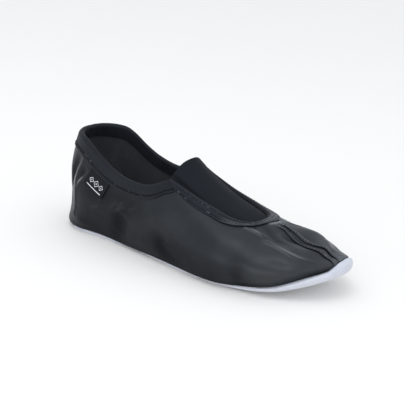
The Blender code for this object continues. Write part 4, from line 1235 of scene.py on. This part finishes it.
def makeLabel():
    cut = labelCut
    drops = np.linspace(-cut["tuckUp"] / cut["drop"], 1, cut["rows"])[:, None]
    ahead = np.linspace(0, 1, cut["columns"])
    bend = np.clip((drops - cut["roundFrom"]) / (1 - cut["roundFrom"]), 0, 1)
    rounded = cut["thickness"] / 2 * (1 - np.sqrt(np.clip(1 - bend ** 2, 0, 1)))
    outer = labelSheet(drops, ahead, -lastForm["gap"] - cut["thickness"] + rounded)
    inner = labelSheet(drops, ahead, -lastForm["gap"] - rounded)
    cloth = np.stack(np.broadcast_arrays(ahead * cut["width"], drops * cut["drop"], 1.0), -1)
    shell = Pattern()
    shell.slab(outer, inner, cloth, cloth * (1, 1, 0))
    return sew("sideLabel", shell, "label")


settle(makeLabel(), "label_weave", "side_label")


# Stitches, each row a seam line laid on the leather with the way out from it at every point
stitchCut = {
    "collarStitches": {"pitch": 2.6, "length": 2.3, "width": 0.75, "slant": 0.06, "seed": 3},
    "throatStitches": {"pitch": 2.6, "length": 2.0, "width": 0.46, "slant": 0.10, "seed": 5},
    "tuckStitches": {"pitch": 2.3, "length": 1.7, "width": 0.42, "slant": 0.0, "seed": 8},
}
seamCut = {"wobble": 0.12, "throatRows": (4.7, 1.5), "tuckInset": 2.0, "tuckRows": 80, "tuckAcross": 1.5,
           "tuckHeight": 0.774}


def seamLine(pointAt, depth):
    # points of a seam with their outward directions, from the same line at two depths
    low, high = pointAt(depth + 1), pointAt(depth)
    return high, (high - low) / np.linalg.norm(high - low, axis=-1, keepdims=True)


def makeStitches(name, lines):
    cut = stitchCut[name]
    edges, start = [], 0
    for line, _ in lines:
        edges += [(start + i, start + i + 1) for i in range(len(line) - 1)]
        start += len(line)
    points, outward = (np.concatenate(values) for values in zip(*lines))
    data = bpy.data.meshes.new(name)
    data.from_pydata((points * mm).tolist(), edges, [])
    mark(data, "outward", outward)
    return grown(linked(name, data), trees["stitch"], {
        "Pitch": cut["pitch"] * mm, "Stitch Length": cut["length"] * mm, "Thread Width": cut["width"] * mm,
        "Slant": cut["slant"], "Wobble": seamCut["wobble"], "Seed": cut["seed"],
        "Thread": finishes["thread"]})


def collarSeam(below):
    along, side = collarRing()
    along, turns, _ = collarPlace(along, below)
    top = -lastForm["gap"] - lastForm["tape"] - collarShape(below)
    return seamLine(lambda depth: leatherPoint(along, turns, side, depth), top)


def throatSeam(below):
    share, side = throatRing()
    along, turns = tapePlace(share, side, below)
    top = -lastForm["gap"] - lastForm["tape"] - throatShape(below)
    return seamLine(lambda depth: leatherPoint(along, turns, side, depth), top)


def tuckSeam(side):
    inset = seamCut["tuckInset"]
    ahead = np.linspace(tuckCut["start"] + inset, tuckCut["end"] - inset, seamCut["tuckRows"])
    across = tuckLine(side, ahead) + seamCut["tuckAcross"]
    return seamLine(lambda depth: acrossPoint(ahead, across, depth), -seamCut["tuckHeight"])


settle(makeStitches("collarStitches", [collarSeam(collarCut["channel"])]), "binding_tape")
settle(makeStitches("throatStitches", [throatSeam(below) for below in seamCut["throatRows"]]), "binding_tape")
settle(makeStitches("tuckStitches", [tuckSeam(lateral), tuckSeam(medial)]), "upper_leather")


# Camera, floor and light
camera = {"azimuth": 34.42, "elevation": 19.41, "roll": 3.80, "distance": 0.616,
          "target": (-0.001, -0.0016, 0.035), "sensor": 36.0, "lens": 73.7, "shift": (0.0112, 0.0219),
          "clip": (0.01, 50.0)}
studio = {"floor": (0.98, 0.952, 0.902), "floorSize": 9.0, "floorRough": 0.9, "floorGloss": 0.1,
          "sky": 1.03, "behind": 0.40, "cast": (0.938, 0.98, 1.04), "aim": (0, 0, 0.03)}
boxes = {  # where it stands, its width and height, its power
    "sideBox": ((0.05, -1.3, 0.28), (1.2, 0.6), 2.4),
    "keyBox": ((0.12, -0.50, 1.25), (0.7, 0.7), 3.0),
}


def turned(thing, toward):
    # turns a camera or a lamp to look along a direction
    thing.rotation_mode = "QUATERNION"
    thing.rotation_quaternion = toward.to_track_quat("-Z", "Y")


def makeCamera():
    azimuth, elevation = math.radians(camera["azimuth"]), math.radians(camera["elevation"])
    toward = Vector((math.sin(azimuth) * math.cos(elevation), -math.cos(azimuth) * math.cos(elevation),
                     math.sin(elevation)))
    data = bpy.data.cameras.new("photoCamera")
    data.sensor_width, data.lens = camera["sensor"], camera["lens"]
    data.shift_x, data.shift_y = camera["shift"]
    data.clip_start, data.clip_end = camera["clip"]
    eye = linked("photoCamera", data)
    eye.location = Vector(camera["target"]) + toward * camera["distance"]
    turned(eye, -toward)
    eye.rotation_quaternion = eye.rotation_quaternion @ Quaternion((0, 0, 1), math.radians(camera["roll"]))
    bpy.context.scene.camera = eye


def makeFloor():
    half, low = studio["floorSize"], cadBox[0].z
    data = bpy.data.meshes.new("studioFloor")
    data.from_pydata([(-half, -half, low), (half, -half, low), (half, half, low), (-half, half, low)], [],
                     [(0, 1, 2, 3)])
    material = newFinish("paleFloor", {"Base Color": (*studio["floor"], 1), "Roughness": studio["floorRough"],
                                       "Specular IOR Level": studio["floorGloss"]})[0]
    data.materials.append(material)
    linked("studioFloor", data)


def makeLights():
    for name, (where, (width, height), power) in boxes.items():
        data = bpy.data.lights.new(name, "AREA")
        data.shape, data.size, data.size_y, data.energy = "RECTANGLE", width, height, power
        data.color = studio["cast"]
        lamp = linked(name, data)
        lamp.location = where
        turned(lamp, Vector(studio["aim"]) - lamp.location)
    world = bpy.data.worlds.new("studioSky")
    world.use_nodes = True
    tree = world.node_tree
    back = tree.nodes["Background"]
    sky = Wire(tree, tree.nodes.new("ShaderNodeTexCoord").outputs["Generated"])
    bright = studio["sky"] - sky.split()[1].larger(0.0) * studio["behind"]
    tree.links.new(bright.socket, back.inputs["Strength"])
    back.inputs["Color"].default_value = (*studio["cast"], 1)
    bpy.context.scene.world = world
    bpy.context.scene.view_settings.view_transform = "Standard"


makeCamera()
makeFloor()
makeLights()
print("studio set")
